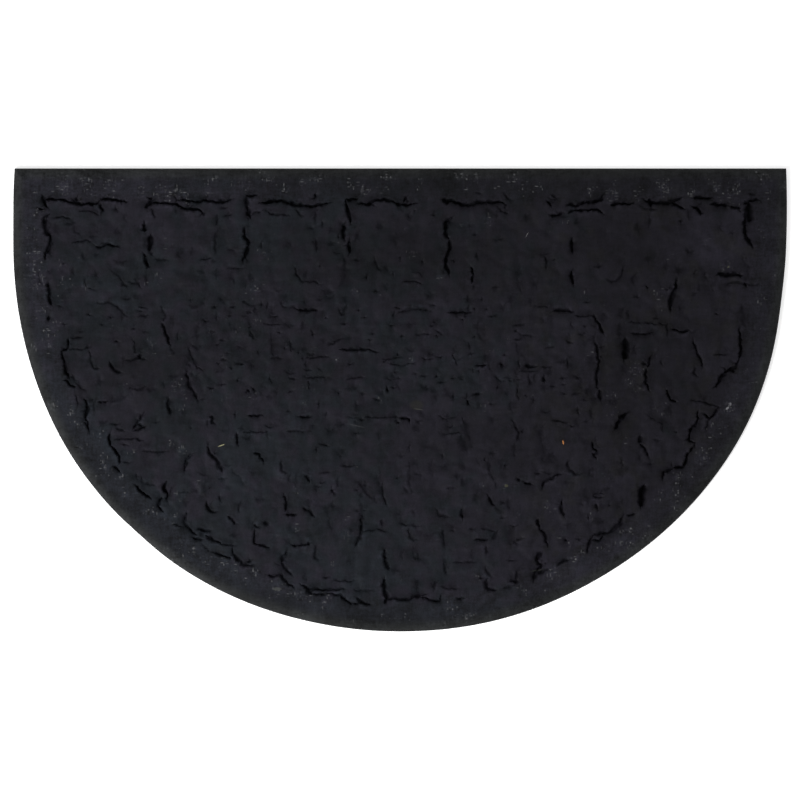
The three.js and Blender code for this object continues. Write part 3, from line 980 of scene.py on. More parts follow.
@dataclass
class SplitCourse:
    """A split's middle line in short uneven steps, with its opening at each of them, in millimetres.

    Attributes:
        split: the split itself.
        seed: which unevenness.
        places: the steps along the middle line.
        halves: how far it opens to the left and to the right of each step.
        fullness: 1 along its middle, falling to 0 at its ends.
        depths: how deep and dark it is at each step, as a share.
        broad: 0 for a narrow split to 1 for a wide one, which is evenly dark with a soft, even border.
    """

    split: Split
    seed: int
    # The middle line's steps, and how far and how soon it strays to a side, in full from this length
    step: float = 1.5
    stray: float = 0.8
    stray_cell: float = 2.9
    full_stray: float = 8.0
    # How unevenly it opens, how soon that changes, and how far apart the noise is read for two splits
    swell: float = 0.8
    swell_cell: float = 3.4
    lane_apart: float = 7.3
    # How deep and dark it is, as a share, and how far that varies
    mean_depth: float = 0.76
    depth_spread: float = 0.32
    # How its ends close, the steepness of its walls, and its least opening to a side
    end_share: float = 0.2
    end_power: float = 0.55
    end_depth: float = 0.25
    wall_power: float = 1.7
    least_half: float = 0.2
    # The width where a split starts to be broad, over which it becomes so, and what that does
    broad_from: float = 4.0
    broad_over: float = 3.0
    broad_calm: float = 0.65
    broad_soft: float = 0.3
    # The painted shade on its low side, which is the right one for one split in this many
    low_turn: int = 3
    least_shade: float = 0.55
    more_shade: float = 0.75
    shade_reach: float = 3.2
    # The painted highlight on the other side, as if it caught the light, and its fainter painted tail that
    # runs out past it
    most_highlight: float = 1.3
    highlight_reach: float = 1.1
    highlight_tail_reach: float = 6.0
    highlight_tail_share: float = 0.55
    # Where the mesh has points: a share of its half opening, and how far past it
    mesh_rows: tuple[Bend, ...] = ((0.55, 0.0), (1.0, 0.1), (1.0, 1.7))
    places: Array = field(init=False)
    halves: Array = field(init=False)
    fullness: Array = field(init=False)
    depths: Array = field(init=False)
    broad: float = field(init=False)

    def __post_init__(self) -> None:
        """Works out the middle line, the two half openings and how full each step is."""
        stray_seed, swell_seeds, depth_seed = 11, (12, 13), 14
        bends = np.array(self.split.bends, float)
        runs = np.linalg.norm(np.diff(bends, axis=0), axis=1)
        travelled = np.concatenate([[0.0], np.cumsum(runs)])
        length = travelled[-1]
        count = max(4, round(length / self.step) + 1)
        at = np.linspace(0.0, length, count)
        middle = np.column_stack([np.interp(at, travelled, bends[:, k]) for k in range(2)])
        lane = np.full_like(at, self.lane_apart * self.seed)
        sway = soft_noise(at, lane, self.stray_cell, stray_seed)
        strays = self.stray * sway * min(1.0, length / self.full_stray)
        self.places = middle + self.aside(middle) * strays[:, None]
        from_end = np.minimum(at, length - at) / (self.end_share * length)
        self.fullness = np.clip(from_end, 0.0, 1.0) ** self.end_power
        self.broad = min(1.0, max(0.0, (self.split.wide - self.broad_from) / self.broad_over))
        swell = self.swell * (1.0 - self.broad_calm * self.broad)
        swells = [1.0 + swell * soft_noise(at, lane, self.swell_cell, seed) for seed in swell_seeds]
        uneven = self.mean_depth + self.depth_spread * soft_noise(at, lane, self.stray_cell, depth_seed)
        self.depths = uneven + self.broad * (1.0 - uneven)
        opening = 0.5 * self.split.wide * self.fullness
        self.halves = np.maximum(self.least_half, np.column_stack([opening * wider for wider in swells]))

    @staticmethod
    def aside(line: Array) -> Array:
        """The unit directions to the left of a line, at each of its points."""
        ahead = np.gradient(line, axis=0)
        ahead /= np.maximum(np.linalg.norm(ahead, axis=1, keepdims=True), 1e-6)
        return np.column_stack([-ahead[:, 1], ahead[:, 0]])

    def rows(self) -> Array:
        """The mesh's points along the floor, the walls, the edges and beside the split."""
        aside = self.aside(self.places)
        rows = [self.places]
        for share, past in self.mesh_rows:
            for side, half in ((1.0, self.halves[:, :1]), (-1.0, self.halves[:, 1:])):
                rows.append(self.places + side * aside * (share * half + past))
        return np.vstack(rows)

    def beside(self, x: Array, y: Array) -> Beside:
        """Finds what the split is like beside some places.

        Args:
            x: places across.
            y: places along.

        Returns:
            The distance from its middle line, the side, and what it is like there.
        """
        start, end = self.places[:-1], self.places[1:]
        run = end - start
        from_start = np.stack([x[:, None] - start[None, :, 0], y[:, None] - start[None, :, 1]], axis=-1)
        share = np.sum(from_start * run, axis=-1) / np.maximum(np.sum(run * run, axis=-1), 1e-9)
        share = np.clip(share, 0.0, 1.0)
        gap = from_start - share[..., None] * run
        away = np.linalg.norm(gap, axis=-1)
        nearest = np.argmin(away, axis=1)
        pick = np.arange(len(x))
        share, away = share[pick, nearest], away[pick, nearest]
        on_left = run[nearest, 0] * gap[pick, nearest, 1] - run[nearest, 1] * gap[pick, nearest, 0] > 0.0
        column = np.where(on_left, 0, 1)
        half = blended(self.halves[nearest, column], self.halves[nearest + 1, column], share)
        fullness = blended(self.fullness[nearest], self.fullness[nearest + 1], share)
        depth = blended(self.depths[nearest], self.depths[nearest + 1], share)
        return Beside(away, on_left, half, fullness, depth)

    def press(self, x: Array, y: Array) -> tuple[Array, Array, Array, Array]:
        """What the split does to the face at some places.

        Args:
            x: places across.
            y: places along.

        Returns:
            How deep it cuts, how far it lifts the face, how dark its painted shade is and how strong its
            painted highlight, at each place.
        """
        section = SECTIONS[self.split.kind]
        away, on_left, half, fullness, depth = self.beside(x, y)
        open_share = np.clip(away / half, 0.0, 1.0)
        wall = 1.0 - open_share**self.wall_power
        deep = section.deep * np.minimum(1.0, fullness + self.end_depth) * wall
        is_low = on_left if self.seed % self.low_turn else ~on_left
        fade = np.exp(-((away / section.reach) ** 2)) * fullness
        lift = np.where(is_low, -section.slope, section.lip) * fade
        soft = section.soft + self.broad_soft * self.broad
        # Painted shade: the split's floor is painted dark, and its low side gets a soft painted shade
        core = depth * section.dark * (1.0 - smooth_step(away / half, 1.0 - soft, 1.0 + soft))
        own = self.least_shade + self.more_shade * (self.seed * GOLDEN_SHARE % 1.0)
        shade = np.exp(-((away / (half + self.shade_reach)) ** 2))
        shaded = own * section.shade * np.where(is_low, shade, 0.0)
        # Painted highlight: the high side beside the split is painted paler, as if it caught the light
        past_edge = (away - half - self.highlight_reach) / self.highlight_reach
        glow = self.highlight_tail_share * np.exp(-(((away - half) / self.highlight_tail_reach) ** 2))
        paleness = np.where(is_low, 0.0, np.exp(-(past_edge**2)) + glow)
        painted_highlight = (self.most_highlight - own) * section.dark * paleness * fullness
        return deep, lift, np.maximum(core, np.minimum(shaded, 1.0) * fullness), painted_highlight


@dataclass(frozen=True)
class Scatter:
    """How the fine splits of one kind are scattered, in millimetres.

    A pair of sizes is the least, and how much more there is at most.

    Attributes:
        kind: which kind.
        pitch: how far apart the places for them are, across and along.
        share: the share of those places that have one.
        centre_share: the same in the field's middle.
        level: the share of them that runs across, while the others run along.
        turn: how far they turn from that, in radians.
        reach: half their length.
        reach_power: how rare the long ones are.
        wide: their width.
        is_bent: whether they bend in the middle.
    """

    kind: SplitKind
    pitch: tuple[float, float]
    share: float
    centre_share: float
    level: float
    turn: float
    reach: tuple[float, float]
    reach_power: int
    wide: tuple[float, float]
    is_bent: bool


@dataclass
class FineSplits:
    """The short splits, soft troughs and side tears all over the mat, laid by fixed draws, in millimetres.

    Attributes:
        plan: the mat's plan.
        border: the width of the band without short splits and troughs.
        seed: which draw.
        short: the short splits, most of which are in the field's middle.
        troughs: the soft troughs.
    """

    plan: MatPlan
    border: float = 38.0
    seed: int = 5
    # The field's middle: half its width, and where it starts and ends
    centre_x: float = 195.0
    centre_low_y: float = -32.0
    centre_high_y: float = 98.0
    short: Scatter = Scatter(
        SplitKind.CREASE, pitch=(13.0, 8.0), share=0.05, centre_share=0.20, level=0.75, turn=0.2,
        reach=(0.8, 2.4), reach_power=2, wide=(0.9, 1.1), is_bent=False)
    troughs: Scatter = Scatter(
        SplitKind.DENT, pitch=(17.0, 14.0), share=0.3, centre_share=0.3, level=0.4, turn=0.5,
        reach=(2.0, 3.0), reach_power=1, wide=(2.4, 3.0), is_bent=True)
    # The length of torn split that has one side tear, and the tear's turn, root, reach and width
    tear_pitch: float = 14.0
    tear_turn: tuple[float, float] = (0.5, 0.8)
    tear_root: float = 1.6
    tear_reach: tuple[float, float] = (2.6, 3.2)
    tear_wide: tuple[float, float] = (0.8, 0.4)

    def scattered(self, pitch: tuple[float, float], seed: int) -> list[tuple[Array, Array]]:
        """Uneven places over the field, with five numbers from 0 to 1 drawn for each.

        Args:
            pitch: about how far apart they are, across and along.
            seed: which draw.

        Returns:
            Each place with its numbers.
        """
        draw = np.random.default_rng(seed)
        columns = np.arange(-self.plan.width / 2, self.plan.width / 2, pitch[0])
        rows = np.arange(-self.plan.depth / 2, self.plan.depth / 2, pitch[1])
        found = []
        for y in rows:
            for x in columns:
                place = np.array([x, y]) + draw.uniform(-0.5, 0.5, 2) * np.array(pitch)
                drawn = draw.uniform(0.0, 1.0, 5)
                if self.plan.inside_by(place[:1], place[1:])[0] > self.border:
                    found.append((place, drawn))
        return found

    def in_centre(self, place: Array) -> bool:
        """Whether a place is in the middle of the field, where most of the short splits are."""
        return abs(place[0]) < self.centre_x and self.centre_low_y < place[1] < self.centre_high_y

    @staticmethod
    def ahead(angle: float) -> Array:
        """The unit direction at an angle in radians."""
        return np.array([math.cos(angle), math.sin(angle)])

    @staticmethod
    def drawn_from(span: tuple[float, float], number: float) -> float:
        """A size from a pair of numbers: the least, and how much more at most."""
        return span[0] + span[1] * number

    def splits(self) -> list[Split]:
        """Lays the short splits and the soft troughs.

        Returns:
            All of them.
        """
        laid = []
        for seed, scatter in enumerate((self.short, self.troughs), self.seed):
            for place, (length, wide, tilt, pick, form) in self.scattered(scatter.pitch, seed):
                if pick > (scatter.centre_share if self.in_centre(place) else scatter.share):
                    continue
                angle = (0.0 if form < scatter.level else math.pi / 2) + (tilt - 0.5) * scatter.turn
                reach = self.ahead(angle) * self.drawn_from(scatter.reach, length**scatter.reach_power)
                bend = place + np.array([-reach[1], reach[0]]) * (form - 0.5)
                middle = (tuple(bend),) if scatter.is_bent else ()
                bends = (tuple(place - reach), *middle, tuple(place + reach))
                laid.append(Split(scatter.kind, self.drawn_from(scatter.wide, wide), bends))
        return laid

    def side_tears(self) -> list[Split]:
        """Lays the short tears that leave the torn splits on either side.

        Returns:
            All of them.
        """
        draw = np.random.default_rng(self.seed + 2)
        laid = []
        for split in PLACED_SPLITS:
            if split.kind is not SplitKind.TORN:
                continue
            bends = np.array(split.bends, float)
            for start, end in zip(bends[:-1], bends[1:]):
                run = end - start
                along, side, pick, turn, reach = draw.uniform(0.0, 1.0, 5)
                if pick > np.linalg.norm(run) / self.tear_pitch:
                    continue
                turned = math.copysign(self.drawn_from(self.tear_turn, turn), side - 0.5)
                ahead = self.ahead(math.atan2(run[1], run[0]) + turned)
                root = start + along * run
                tip = root + self.drawn_from(self.tear_reach, reach) * ahead
                opening = self.drawn_from(self.tear_wide, split.wide)
                laid.append(crease(opening, tuple(root - self.tear_root * ahead), tuple(tip)))
        return laid


@dataclass(frozen=True)
class Wave:
    """A soft wave with crests that sway, in millimetres.

    Attributes:
        length: its length over a full turn's radians.
        sway: how far its crests sway, in radians.
        sway_length: the sway's own length over a full turn's radians.
        share: how much of the field's dip it makes.
    """

    length: float
    sway: float
    sway_length: float
    share: float

    def at(self, forward: Array, beside: Array) -> Array:
        """Its height at some places, given along it and along its crests."""
        return self.share * np.sin(forward / self.length + self.sway * np.sin(beside / self.sway_length))


@dataclass
class MatFace:
    """The pressed upper face: its height and its darkness, which is painted shade, at any place, in
    millimetres.

    Attributes:
        plan: the mat's plan.
        thick: the mat's thickness.
        courses: all splits.
        border: the width of the flat border band.
    """

    plan: MatPlan
    thick: float
    courses: list[SplitCourse]
    border: float = 34.0
    # The broad dips: where they fade out, their depth, and the waves that make them
    blend: float = 22.0
    dip: float = 1.1
    mean_dip: float = 0.5
    across_wave: Wave = Wave(length=16, sway=1.4, sway_length=27, share=0.22)
    along_wave: Wave = Wave(length=14, sway=1.2, sway_length=33, share=0.18)
    slant: float = 1.6
    slant_length: float = 23.0
    slant_share: float = 0.1
    # The plates, lumps and strokes of the pressed crumb, and how much of them the border band has
    plate_size: float = 21.0
    lump_size: float = 9.0
    lump_height: float = 0.35
    stroke_size: float = 6.0
    stroke_squeeze: float = 0.4
    stroke_height: float = 0.25
    band_start: float = 0.7
    band_blend: float = 8.0
    band_share: float = 0.4
    # How far out a wide split and any other is felt, and the most that splits sink or lift the face
    wide_from: float = 2.5
    wide_margin: float = 12.0
    margin: float = 9.0
    most_lift: float = 0.6

    def broad_dip(self, x: Array, y: Array) -> Array:
        """How far the field's broad soft dips lie under the border.

        Args:
            x: places across.
            y: places along.

        Returns:
            The dip at each place.
        """
        share = smooth_step(self.plan.inside_by(x, y), self.border, self.border + self.blend)
        across, along = self.across_wave.at(x, y), self.along_wave.at(y, x)
        slanting = self.slant_share * np.sin((x - self.slant * y) / self.slant_length)
        return self.dip * share * (self.mean_dip + across + along + slanting)

    def pillows(self, x: Array, y: Array) -> Array:
        """The small soft lumps of the pressed crumb, lower on the border.

        Args:
            x: places across.
            y: places along.

        Returns:
            The height at each place, about zero on the whole.
        """
        plate_seed, lump_seed, upright_seed, level_seed = 31, 22, 23, 24
        squeeze, size = self.stroke_squeeze, self.stroke_size
        starts, ends = self.band_start * self.border, self.border + self.band_blend
        in_field = smooth_step(self.plan.inside_by(x, y), starts, ends)
        share = self.band_share + (1.0 - self.band_share) * in_field
        plates = plate_relief(x, y, self.plate_size, plate_seed)
        lumps = self.lump_height * soft_noise(x, y, self.lump_size, lump_seed)
        upright = self.stroke_height * soft_noise(x, y * squeeze, size, upright_seed)
        level = self.stroke_height * soft_noise(x * squeeze, y, size, level_seed)
        return share * (plates + lumps + upright + level)

    @staticmethod
    def speckle(x: Array, y: Array) -> Array:
        """How many of the crumbs are pale.

        Args:
            x: places across.
            y: places along.

        Returns:
            The share of pale crumbs at each place, as a number from 0 to 1.
        """
        share = np.zeros(len(x))
        for cluster in map(SpeckCluster._make, SPECK_CLUSTERS):
            away = np.hypot(x - cluster.x, y - cluster.y) / cluster.reach
            share = np.maximum(share, cluster.crowd * np.exp(-(away**2)))
        return share

    @staticmethod
    def tone(x: Array, y: Array) -> Array:
        """How light the face is painted over the whole mat, by the patches' painted light and shade and
        uneven lightness.

        Args:
            x: places across.
            y: places along.

        Returns:
            A factor round 1 at each place.
        """
        light = np.ones(len(x))
        for patch in map(LightAndTonePatch._make, PAINTED_LIGHT_AND_TONE_PATCHES):
            away = np.hypot((x - patch.x) / patch.reach_x, (y - patch.y) / patch.reach_y)
            light += patch.lighter * np.exp(-(away**2))
        return light

    def shape(self, x: Array, y: Array) -> tuple[Array, Array, Array]:
        """The face at some places inside the rounded rim.

        Args:
            x: places across.
            y: places along.

        Returns:
            The height above the floor, the painted shade and the painted highlight, at each place.
        """
        deep, lift, dark, painted_highlight = (np.zeros(len(x)) for _ in range(4))
        order = np.argsort(x, kind="stable")
        sorted_x = x[order]
        for course in self.courses:
            margin = self.wide_margin if course.split.wide > self.wide_from else self.margin
            low, high = course.places.min(axis=0) - margin, course.places.max(axis=0) + margin
            band = order[np.searchsorted(sorted_x, low[0]):np.searchsorted(sorted_x, high[0])]
            near = band[(y[band] > low[1]) & (y[band] < high[1])]
            if not len(near):
                continue
            cut, raised, shade, highlight = course.press(x[near], y[near])
            deep[near] = np.maximum(deep[near], cut)
            lift[near] += raised
            dark[near] = np.maximum(dark[near], shade)
            painted_highlight[near] = np.maximum(painted_highlight[near], highlight)
        lifted = np.clip(lift, -self.most_lift, self.most_lift)
        height = self.thick - self.broad_dip(x, y) + self.pillows(x, y) + lifted - deep
        return height, dark, painted_highlight


@dataclass
class RubberMat:
    """The whole doormat: one pressing with a rounded rim, a smooth border and a split, lumpy field.

    Attributes:
        plan: the mat's plan, in millimetres, as all of this is.
        thick: its thickness.
    """

    plan: MatPlan
    thick: float
    # The rounded rim, and the rings of points that lie this far in
    rim_reach: float = 9.0
    rim_drop: float = 4.6
    rim_insets: tuple[float, ...] = (0.25, 0.9, 1.9, 3.3, 5.0, 7.0, 9.0, 11.0)
    # How far in the underside starts, and how high the side wall ends
    foot_inset: float = 0.8
    foot_height: float = 1.0
    # How far apart points are, and how close two points of the splits may lie
    edge_spacing: float = 2.2
    face_spacing: float = 2.7
    underside_spacing: float = 24.0
    apart: float = 0.62
    # How far face points stray and what stays free round the splits, as shares of the spacing
    jitter: float = 0.22
    clear_share: float = 0.55
    # How far inside the last ring the splits' points start, and the face's as a share of the spacing
    split_margin: float = 1.0
    face_margin: float = 0.6
    seed: int = 3

    def courses(self) -> list[SplitCourse]:
        """All splits of the face, the placed ones first."""
        fine = FineSplits(self.plan)
        splits = [*PLACED_SPLITS, *fine.splits(), *fine.side_tears()]
        return [SplitCourse(split, seed) for seed, split in enumerate(splits)]

    def rim_height(self, inset: Array) -> Array:
        """The rounded rim's height above the floor.

        Args:
            inset: the distance in from the edge.

        Returns:
            The height at each distance.
        """
        from_top = 1.0 - np.clip(inset / self.rim_reach, 0.0, 1.0)
        return self.thick - self.rim_drop * (1.0 - np.sqrt(1.0 - from_top**2))

    def split_points(self, courses: list[SplitCourse]) -> Array:
        """The points along all splits, thinned so that no two are nearly in one place.

        Args:
            courses: the splits.

        Returns:
            One row of x and y for each point.
        """
        points = np.vstack([course.rows() for course in courses])
        inner = self.rim_insets[-1] + self.split_margin
        points = points[self.plan.inside_by(points[:, 0], points[:, 1]) > inner]
        cells = np.round(points / self.apart).astype(int)
        kept = np.unique(cells, axis=0, return_index=True)[1]
        return points[np.sort(kept)]

    def field_points(self, taken: Array) -> Array:
        """An uneven net of points over the face, with room left round those already there.

        Args:
            taken: the splits' points.

        Returns:
            One row of x and y for each point.
        """
        spacing = self.face_spacing
        columns = np.arange(-self.plan.width / 2, self.plan.width / 2, spacing)
        rows = np.arange(-self.plan.depth / 2, self.plan.depth / 2, spacing * math.sqrt(3) / 2)
        x, y = np.meshgrid(columns, rows)
        x[1::2] += spacing / 2
        points = np.column_stack([x.ravel(), y.ravel()])
        draw = np.random.default_rng(self.seed)
        points += draw.uniform(-self.jitter, self.jitter, points.shape) * spacing
        inner = self.rim_insets[-1] + self.face_margin * spacing
        points = points[self.plan.inside_by(points[:, 0], points[:, 1]) > inner]
        cell = self.clear_share * spacing
        stride = 4096
        busy = set()
        for across in (-1, 0, 1):
            for along in (-1, 0, 1):
                cells = np.floor(taken / cell).astype(int) + (across, along)
                busy.update((cells[:, 0] * stride + cells[:, 1]).tolist())
        own = np.floor(points / cell).astype(int)
        free = [place not in busy for place in (own[:, 0] * stride + own[:, 1]).tolist()]
        return points[np.array(free)]

    def build(self) -> bpy.types.Object:
        """Makes the mat's mesh with what its finish reads from it.

        Returns:
            The mat, standing for the node in the frame.
        """
        courses = self.courses()
        face = MatFace(self.plan, self.thick, courses)
        edge = self.plan.outline(self.edge_spacing)
        rings = [inset_ring(edge, inset) for inset in self.rim_insets]
        split_points = self.split_points(courses)
        points = np.vstack([edge, *rings, split_points, self.field_points(split_points)])
        insets = np.full(len(points), np.nan)
        insets[:len(edge) * (1 + len(rings))] = np.repeat((0.0, *self.rim_insets), len(edge))
        flat, faces, sources = triangulate(points, len(edge))
        first = np.array([source[0] for source in sources])
        inset = insets[first]
        on_rim = ~np.isnan(inset)
        inside = np.fmin(inset, self.plan.inside_by(flat[:, 0], flat[:, 1]))
        height, dark, painted_highlight = face.shape(flat[:, 0], flat[:, 1])
        on_slope = on_rim & (inside < self.rim_reach)
        height = np.where(on_slope, self.rim_height(np.nan_to_num(inside)), height)
        top = np.column_stack([flat, height])
        edge_of = np.empty(len(edge), int)
        is_edge = first < len(edge)
        edge_of[first[is_edge]] = np.nonzero(is_edge)[0]
        # Besides the pale crumbs, these readings carry painted shade in and beside the splits, a painted
        # highlight beside them, and the patches' painted light and shade
        reads = {"inside": inside * MILLIMETRE, "dark": dark, "painted_highlight": painted_highlight,
                 "speckle": face.speckle(flat[:, 0], flat[:, 1]), "tone": face.tone(flat[:, 0], flat[:, 1])}
        return self.closed_mesh(top, faces, edge_of, edge, reads)

    def closed_mesh(self, top: Array, faces: list[list[int]], edge_of: Array, edge: Array,
                    reads: dict[str, Array]) -> bpy.types.Object:
        """Closes the upper face with the side wall and the flat underside.

        Args:
            top: the face's points.
            faces: its triangles.
            edge_of: which of its points each point of the outline is.
            edge: the outline.
            reads: what the finish reads at each of the face's points, by name.

        Returns:
            The mat.
        """
        count = len(edge)
        wall = np.column_stack([edge, np.full(count, self.foot_height)])
        foot_ring = inset_ring(edge, self.foot_inset)
        under_grid = self.under_points()
        under_flat, under_faces, sources = triangulate(np.vstack([foot_ring, under_grid]), count)
        under = np.column_stack([under_flat, np.zeros(len(under_flat))])
        foot_of = np.empty(count, int)
        for index, source in enumerate(sources):
            if source[0] < count:
                foot_of[source[0]] = index
        wall_start = len(top)
        under_start = wall_start + count
        ring = np.arange(count)
        following = (ring + 1) % count
        wall_at, next_wall = wall_start + ring, wall_start + following
        foot_at, next_foot = under_start + foot_of[ring], under_start + foot_of[following]
        upper = np.column_stack([edge_of[ring], wall_at, next_wall, edge_of[following]])
        lower = np.column_stack([wall_at, foot_at, next_foot, next_wall])
        turned_down = [[under_start + corner for corner in reversed(triangle)] for triangle in under_faces]
        points = np.vstack([top, wall, under]) * MILLIMETRE
        mesh = bpy.data.meshes.new("rubber_mat")
        mesh.from_pydata(points.tolist(), [], [*faces, *upper.tolist(), *lower.tolist(), *turned_down])
        mesh.polygons.foreach_set("use_smooth", np.ones(len(mesh.polygons), bool))
        for name, values in reads.items():
            rest = np.full(count + len(under), 1.0 if name == "tone" else 0.0)
            held = mesh.attributes.new(name, "FLOAT", "POINT").data
            held.foreach_set("value", np.concatenate([values, rest]).astype(np.float32))
        mesh.update()
        mat = bpy.data.objects.new("rubber_mat", mesh)
        bpy.context.scene.collection.objects.link(mat)
        log.info("rubber_mat: %d points, %d faces", len(mesh.vertices), len(mesh.polygons))
        return mat

    def under_points(self) -> Array:
        """A wide net of points for the flat underside."""
        columns = np.arange(-self.plan.width / 2, self.plan.width / 2, self.underside_spacing)
        rows = np.arange(-self.plan.depth / 2, self.plan.depth / 2, self.underside_spacing)
        x, y = (side.ravel() for side in np.meshgrid(columns, rows))
        inside = self.plan.inside_by(x, y) > self.underside_spacing / 2
        return np.column_stack([x, y])[inside]


def triangulate(points: Array, edge_count: int) -> tuple[Array, list[list[int]], list[list[int]]]:
    """Joins points into triangles inside the ring that the first of them form.

    Args:
        points: one row of x and y for each point.
        edge_count: how many of the first ones form the ring, anticlockwise.

    Returns:
        The joined points, the triangles facing up, and for each point the ones that it comes from.
    """
    nearest = 1e-5
    inside_only = 1
    places, _, faces, sources, _, _ = delaunay_2d_cdt(
        [Vector(point) for point in points.tolist()], [], [list(range(edge_count))], inside_only, nearest)
    flat = np.array([tuple(place) for place in places])
    corners = flat[np.array(faces)]
    first, second = corners[:, 1] - corners[:, 0], corners[:, 2] - corners[:, 0]
    facing_up = first[:, 0] * second[:, 1] - first[:, 1] * second[:, 0] > 0
    turned = [list(face) if up else list(reversed(face)) for face, up in zip(faces, facing_up)]
    return flat, turned, sources


class Noise(NamedTuple):
    """A kind of soft unevenness.

    Attributes:
        size: the size of one lump, in metres.
        detail: how many finer layers it has.
        rough: how strong they are.
        stretch: what a place's three numbers are multiplied by first.
    """

    size: float
    detail: float = 2.0
    rough: float = 0.5
    stretch: tuple[float, float, float] = (1.0, 1.0, 1.0)


class Value:
    """A number that changes over a surface: a shader socket with Python's operators."""

    def __init__(self, tree: "ShaderTree", socket: Socket) -> None:
        """Keeps the socket and the tree that it is in."""
        self.tree = tree
        self.socket = socket

    def _maths(self, operation: str, first: Any, second: Any = None) -> "Value":
        """Adds one Math node.

        Args:
            operation: its operation.
            first: its first input.
            second: its second input, if it has one.

        Returns:
            What it gives.
        """
        inputs = {0: first} if second is None else {0: first, 1: second}
        return Value(self.tree, self.tree.node("ShaderNodeMath", {"operation": operation}, inputs).outputs[0])

    def __add__(self, other: Any) -> "Value":
        """The sum."""
        return self._maths("ADD", self, other)

    def __radd__(self, other: Any) -> "Value":
        """The sum, the other way round."""
        return self._maths("ADD", other, self)

    def __sub__(self, other: Any) -> "Value":
        """The difference."""
        return self._maths("SUBTRACT", self, other)

    def __rsub__(self, other: Any) -> "Value":
        """The difference, the other way round."""
        return self._maths("SUBTRACT", other, self)

    def __mul__(self, other: Any) -> "Value":
        """The product."""
        return self._maths("MULTIPLY", self, other)

    def __rmul__(self, other: Any) -> "Value":
        """The product, the other way round."""
        return self._maths("MULTIPLY", other, self)

    def at_most(self, other: Any) -> "Value":
        """The lesser of the two."""
        return self._maths("MINIMUM", self, other)

    def at_least(self, other: Any) -> "Value":
        """The greater of the two."""
        return self._maths("MAXIMUM", self, other)

    def root(self) -> "Value":
        """The square root."""
        return self._maths("SQRT", self)

    def swing(self) -> "Value":
        """How far an uneven number lies above its mean, which is a half."""
        return self - 0.5

    def step(self, low: float, high: float) -> "Value":
        """A soft step.

        Args:
            low: where it is 0.
            high: where it is 1, which may lie below low.

        Returns:
            The step.
        """
        rising = high > low
        settings = {"interpolation_type": "SMOOTHSTEP"}
        ends = (low, high, 0.0, 1.0) if rising else (high, low, 1.0, 0.0)
        inputs = dict(enumerate((self, *ends)))
        return Value(self.tree, self.tree.node("ShaderNodeMapRange", settings, inputs).outputs[0])


@dataclass
class ShaderTree:
    """A material's nodes.

    Attributes:
        tree: Blender's own node tree.
    """

    tree: bpy.types.NodeTree

    def node(self, kind: str, settings: dict[str, Any] | None = None,
             inputs: dict[int | str, Any] | None = None) -> bpy.types.Node:
        """Adds any node.

        Args:
            kind: Blender's name of the node's type.
            settings: its settings, which are set first.
            inputs: for each socket, by name or number, a plain value or what to link.

        Returns:
            The node.
        """
        made = self.tree.nodes.new(kind)
        for name, value in (settings or {}).items():
            setattr(made, name, value)
        for key, value in (inputs or {}).items():
            linked = value.socket if isinstance(value, Value) else value
            if isinstance(linked, Socket):
                self.tree.links.new(linked, made.inputs[key])
            else:
                made.inputs[key].default_value = linked
        return made

    def join(self, value: Value | Socket, to: Socket) -> None:
        """Links what a node gives to a socket that is there already."""
        self.tree.links.new(value.socket if isinstance(value, Value) else value, to)

    def attribute(self, name: str) -> Value:
        """A number kept on the mesh's points."""
        return Value(self, self.node("ShaderNodeAttribute", {"attribute_name": name}).outputs["Fac"])

    def place(self) -> Socket:
        """Where a point lies on the mat, in metres from its middle."""
        return self.node("ShaderNodeTexCoord").outputs["Object"]

    def stretched(self, place: Socket, by: Sequence[float]) -> Socket:
        """A place with each of its numbers multiplied by its own factor."""
        return self.node("ShaderNodeVectorMath", {"operation": "MULTIPLY"}, {0: place, 1: by}).outputs[0]

    def noise(self, place: Socket, noise: Noise) -> Value:
        """Soft uneven numbers round a half.

        Args:
            place: where.
            noise: which unevenness.

        Returns:
            The number.
        """
        inputs = {"Vector": self.stretched(place, noise.stretch), "Scale": 1.0 / noise.size,
                  "Detail": noise.detail, "Roughness": noise.rough}
        return Value(self, self.node("ShaderNodeTexNoise", {"noise_dimensions": "3D"}, inputs).outputs[0])

    def crumbs(self, place: Socket, size: float) -> tuple[Value, Value, Value]:
        """Cells like crumbs.

        Args:
            place: where.
            size: the size of a cell, in metres.

        Returns:
            The distance from the cell's middle as a share of its size, and two numbers drawn for the cell.
        """
        cells = self.node("ShaderNodeTexVoronoi", {"feature": "F1"}, {"Vector": place, "Scale": 1.0 / size})
        drawn = self.node("ShaderNodeSeparateColor", {}, {0: cells.outputs["Color"]})
        first, second = (Value(self, drawn.outputs[k]) for k in range(2))
        return Value(self, cells.outputs["Distance"]), first, second

    def mixed(self, share: Any, first: Any, second: Any, how: str = "MIX") -> Socket:
        """Mixes two colours.

        Args:
            share: how much of the second.
            first: a colour.
            second: a colour.
            how: the way of mixing.

        Returns:
            The colour.
        """
        factor, colour_a, colour_b, colour_out = 0, 6, 7, 2
        settings = {"data_type": "RGBA", "blend_type": how}
        inputs = {factor: share, colour_a: first, colour_b: second}
        return self.node("ShaderNodeMix", settings, inputs).outputs[colour_out]


def new_material(name: str) -> tuple[bpy.types.Material, ShaderTree, bpy.types.Node]:
    """Starts a material.

    Args:
        name: its name.

    Returns:
        The material, its nodes and its main shader.
    """
    material = bpy.data.materials.new(name)
    material.use_nodes = True
    return material, ShaderTree(material.node_tree), material.node_tree.nodes["Principled BSDF"]


@dataclass(frozen=True)
class Fleck:
    """A scrap of another colour pressed into the face.

    Attributes:
        at: its place, in millimetres from the mat's middle.
        size: its length and width, in millimetres.
        turn: its heading, in degrees.
        colour: its colour.
        show: how much of it shows.
    """

    at: Bend
    size: tuple[float, float]
    turn: float
    colour: Colour
    show: float


